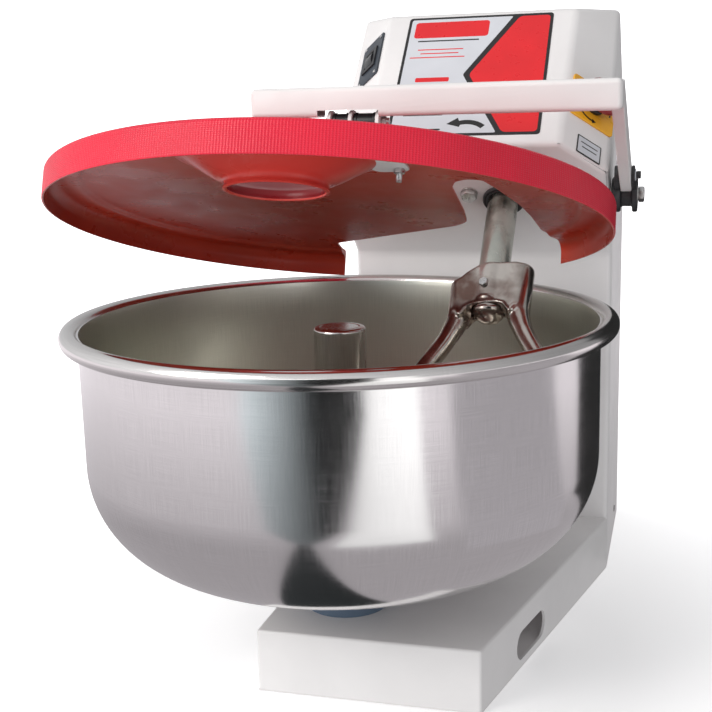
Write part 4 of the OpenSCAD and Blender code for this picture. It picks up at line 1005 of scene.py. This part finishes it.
# the floor as the steel mirrors it, darker near the mixer: painted shade in the reflection
reflection_card("floor_reflection_painted_shade", wedge(1, 9000, -180, 179.9, n=90), at(0, 0, 0), 0.42, 1.05, 0.5, 1.9,
                WARM, radial=True)
reflection_card("bright_card", wedge(560, 3300, 12, 46, 28, 45), at(0, 0, 1), 1.0, 1.5, 0.3, 1.0)
reflection_card("bright_card_back", wall(-560, 420, 0, 1300), rz(36) @ at(0, -3340, 0) @ rx(90),
                1.5, 1.4, -1, 1)
reflection_card("dark_card_front", wedge(600, 2600, 0, 6, -27, 29), at(0, 0, 2), 1.1, 0.0, -0.66, 0.14, COOL)
reflection_card("dark_card_back", wall(-1200, 1310, 0, 1500), at(0, -2440, 0) @ rx(90), 1.2, 0.0,
                -1.2, 0.22, COOL)
# a dark sheet under the bowl standing for the shaded base top that the bowl mirrors: painted shade
reflection_card("shade_card_near", wedge(96, 600, -36, 66, 0, 5), at(0, 0, 1.5), 0.05, 0.02, -0.2, 0.2, COOL)
reflection_card("dark_card_side", wall(262, 620, 0, 620), at(0, 335, 0) @ rx(90), 0.02, 0.02, 0, 1)
reflection_card("grey_card_right", wedge(420, 3200, 58, 110), at(0, 0, 1), 0.46, 0.4, 0.4, 2.6,
                (1.0, 0.95, 1.0))
reflection_card("strip_card", wall(-900, 700, -180, 180), at(-300, -2400, 1500) @ rx(60), 2.6, 2.0, -0.9, 0.7)

world = bpy.data.worlds.new("studio")
scene.world = world
world.use_nodes = True
new, link = world.node_tree.nodes.new, world.node_tree.links.new
bg = world.node_tree.nodes["Background"]
# the sky is brighter on the front left, where the soft light comes from
facing = new("ShaderNodeVectorMath")
facing.operation = "DOT_PRODUCT"
facing.inputs[1].default_value = (-0.6, -0.65, -0.12)
link(new("ShaderNodeTexCoord").outputs["Generated"], facing.inputs[0])
ramp = new("ShaderNodeMapRange")
for i, v in ((1, -0.8), (2, 0.7), (3, 0.34), (4, 0.98)):
    ramp.inputs[i].default_value = v
link(facing.outputs["Value"], ramp.inputs[0])
link(ramp.outputs[0], bg.inputs["Strength"])
bg.inputs["Color"].default_value = (0.985, 0.985, 1.0, 1)


def area(name, loc, target, size, power, colour):
    """A square soft light at loc, turned to the target."""
    d = bpy.data.lights.new(name, "AREA")
    d.shape, d.size, d.energy, d.color = "SQUARE", size, power, colour
    o = bpy.data.objects.new(name, d)
    scene.collection.objects.link(o)
    o.location = loc
    o.rotation_mode = "QUATERNION"
    o.rotation_quaternion = (Vector(target) - Vector(loc)).to_track_quat("-Z", "Y")


area("key_light", (-1.6, -2.0, 2.2), (0.05, 0.1, 0.35), 1.4, 38, (1, 0.985, 0.97))
area("fill_light", (-1.3, -1.5, 1.0), (0.1, 0.15, 0.32), 0.7, 9, (1, 0.97, 0.92))

# ---------- camera ----------
YAW, PITCH, ROLL, LENS = 0.274, 0.207, -0.027, 59.9
CAMERA_AT = (0.33785, -1.14336, 0.58495)
cam_data = bpy.data.cameras.new("camera")
cam_data.sensor_width, cam_data.lens = 36.0, LENS
cam_data.clip_start, cam_data.clip_end = 0.05, 100
cam = bpy.data.objects.new("camera", cam_data)
scene.collection.objects.link(cam)
fwd = Vector((-math.sin(YAW) * math.cos(PITCH), math.cos(YAW) * math.cos(PITCH), -math.sin(PITCH)))
right = Vector((math.cos(YAW), math.sin(YAW), 0))
up = right.cross(fwd)
rolled_right = right * math.cos(ROLL) + up * math.sin(ROLL)
rolled_up = up * math.cos(ROLL) - right * math.sin(ROLL)
cam.matrix_world = Matrix.Translation(CAMERA_AT) @ Matrix((rolled_right, rolled_up, -fwd)).transposed().to_4x4()
scene.camera = cam
scene.view_settings.view_transform = "Standard"
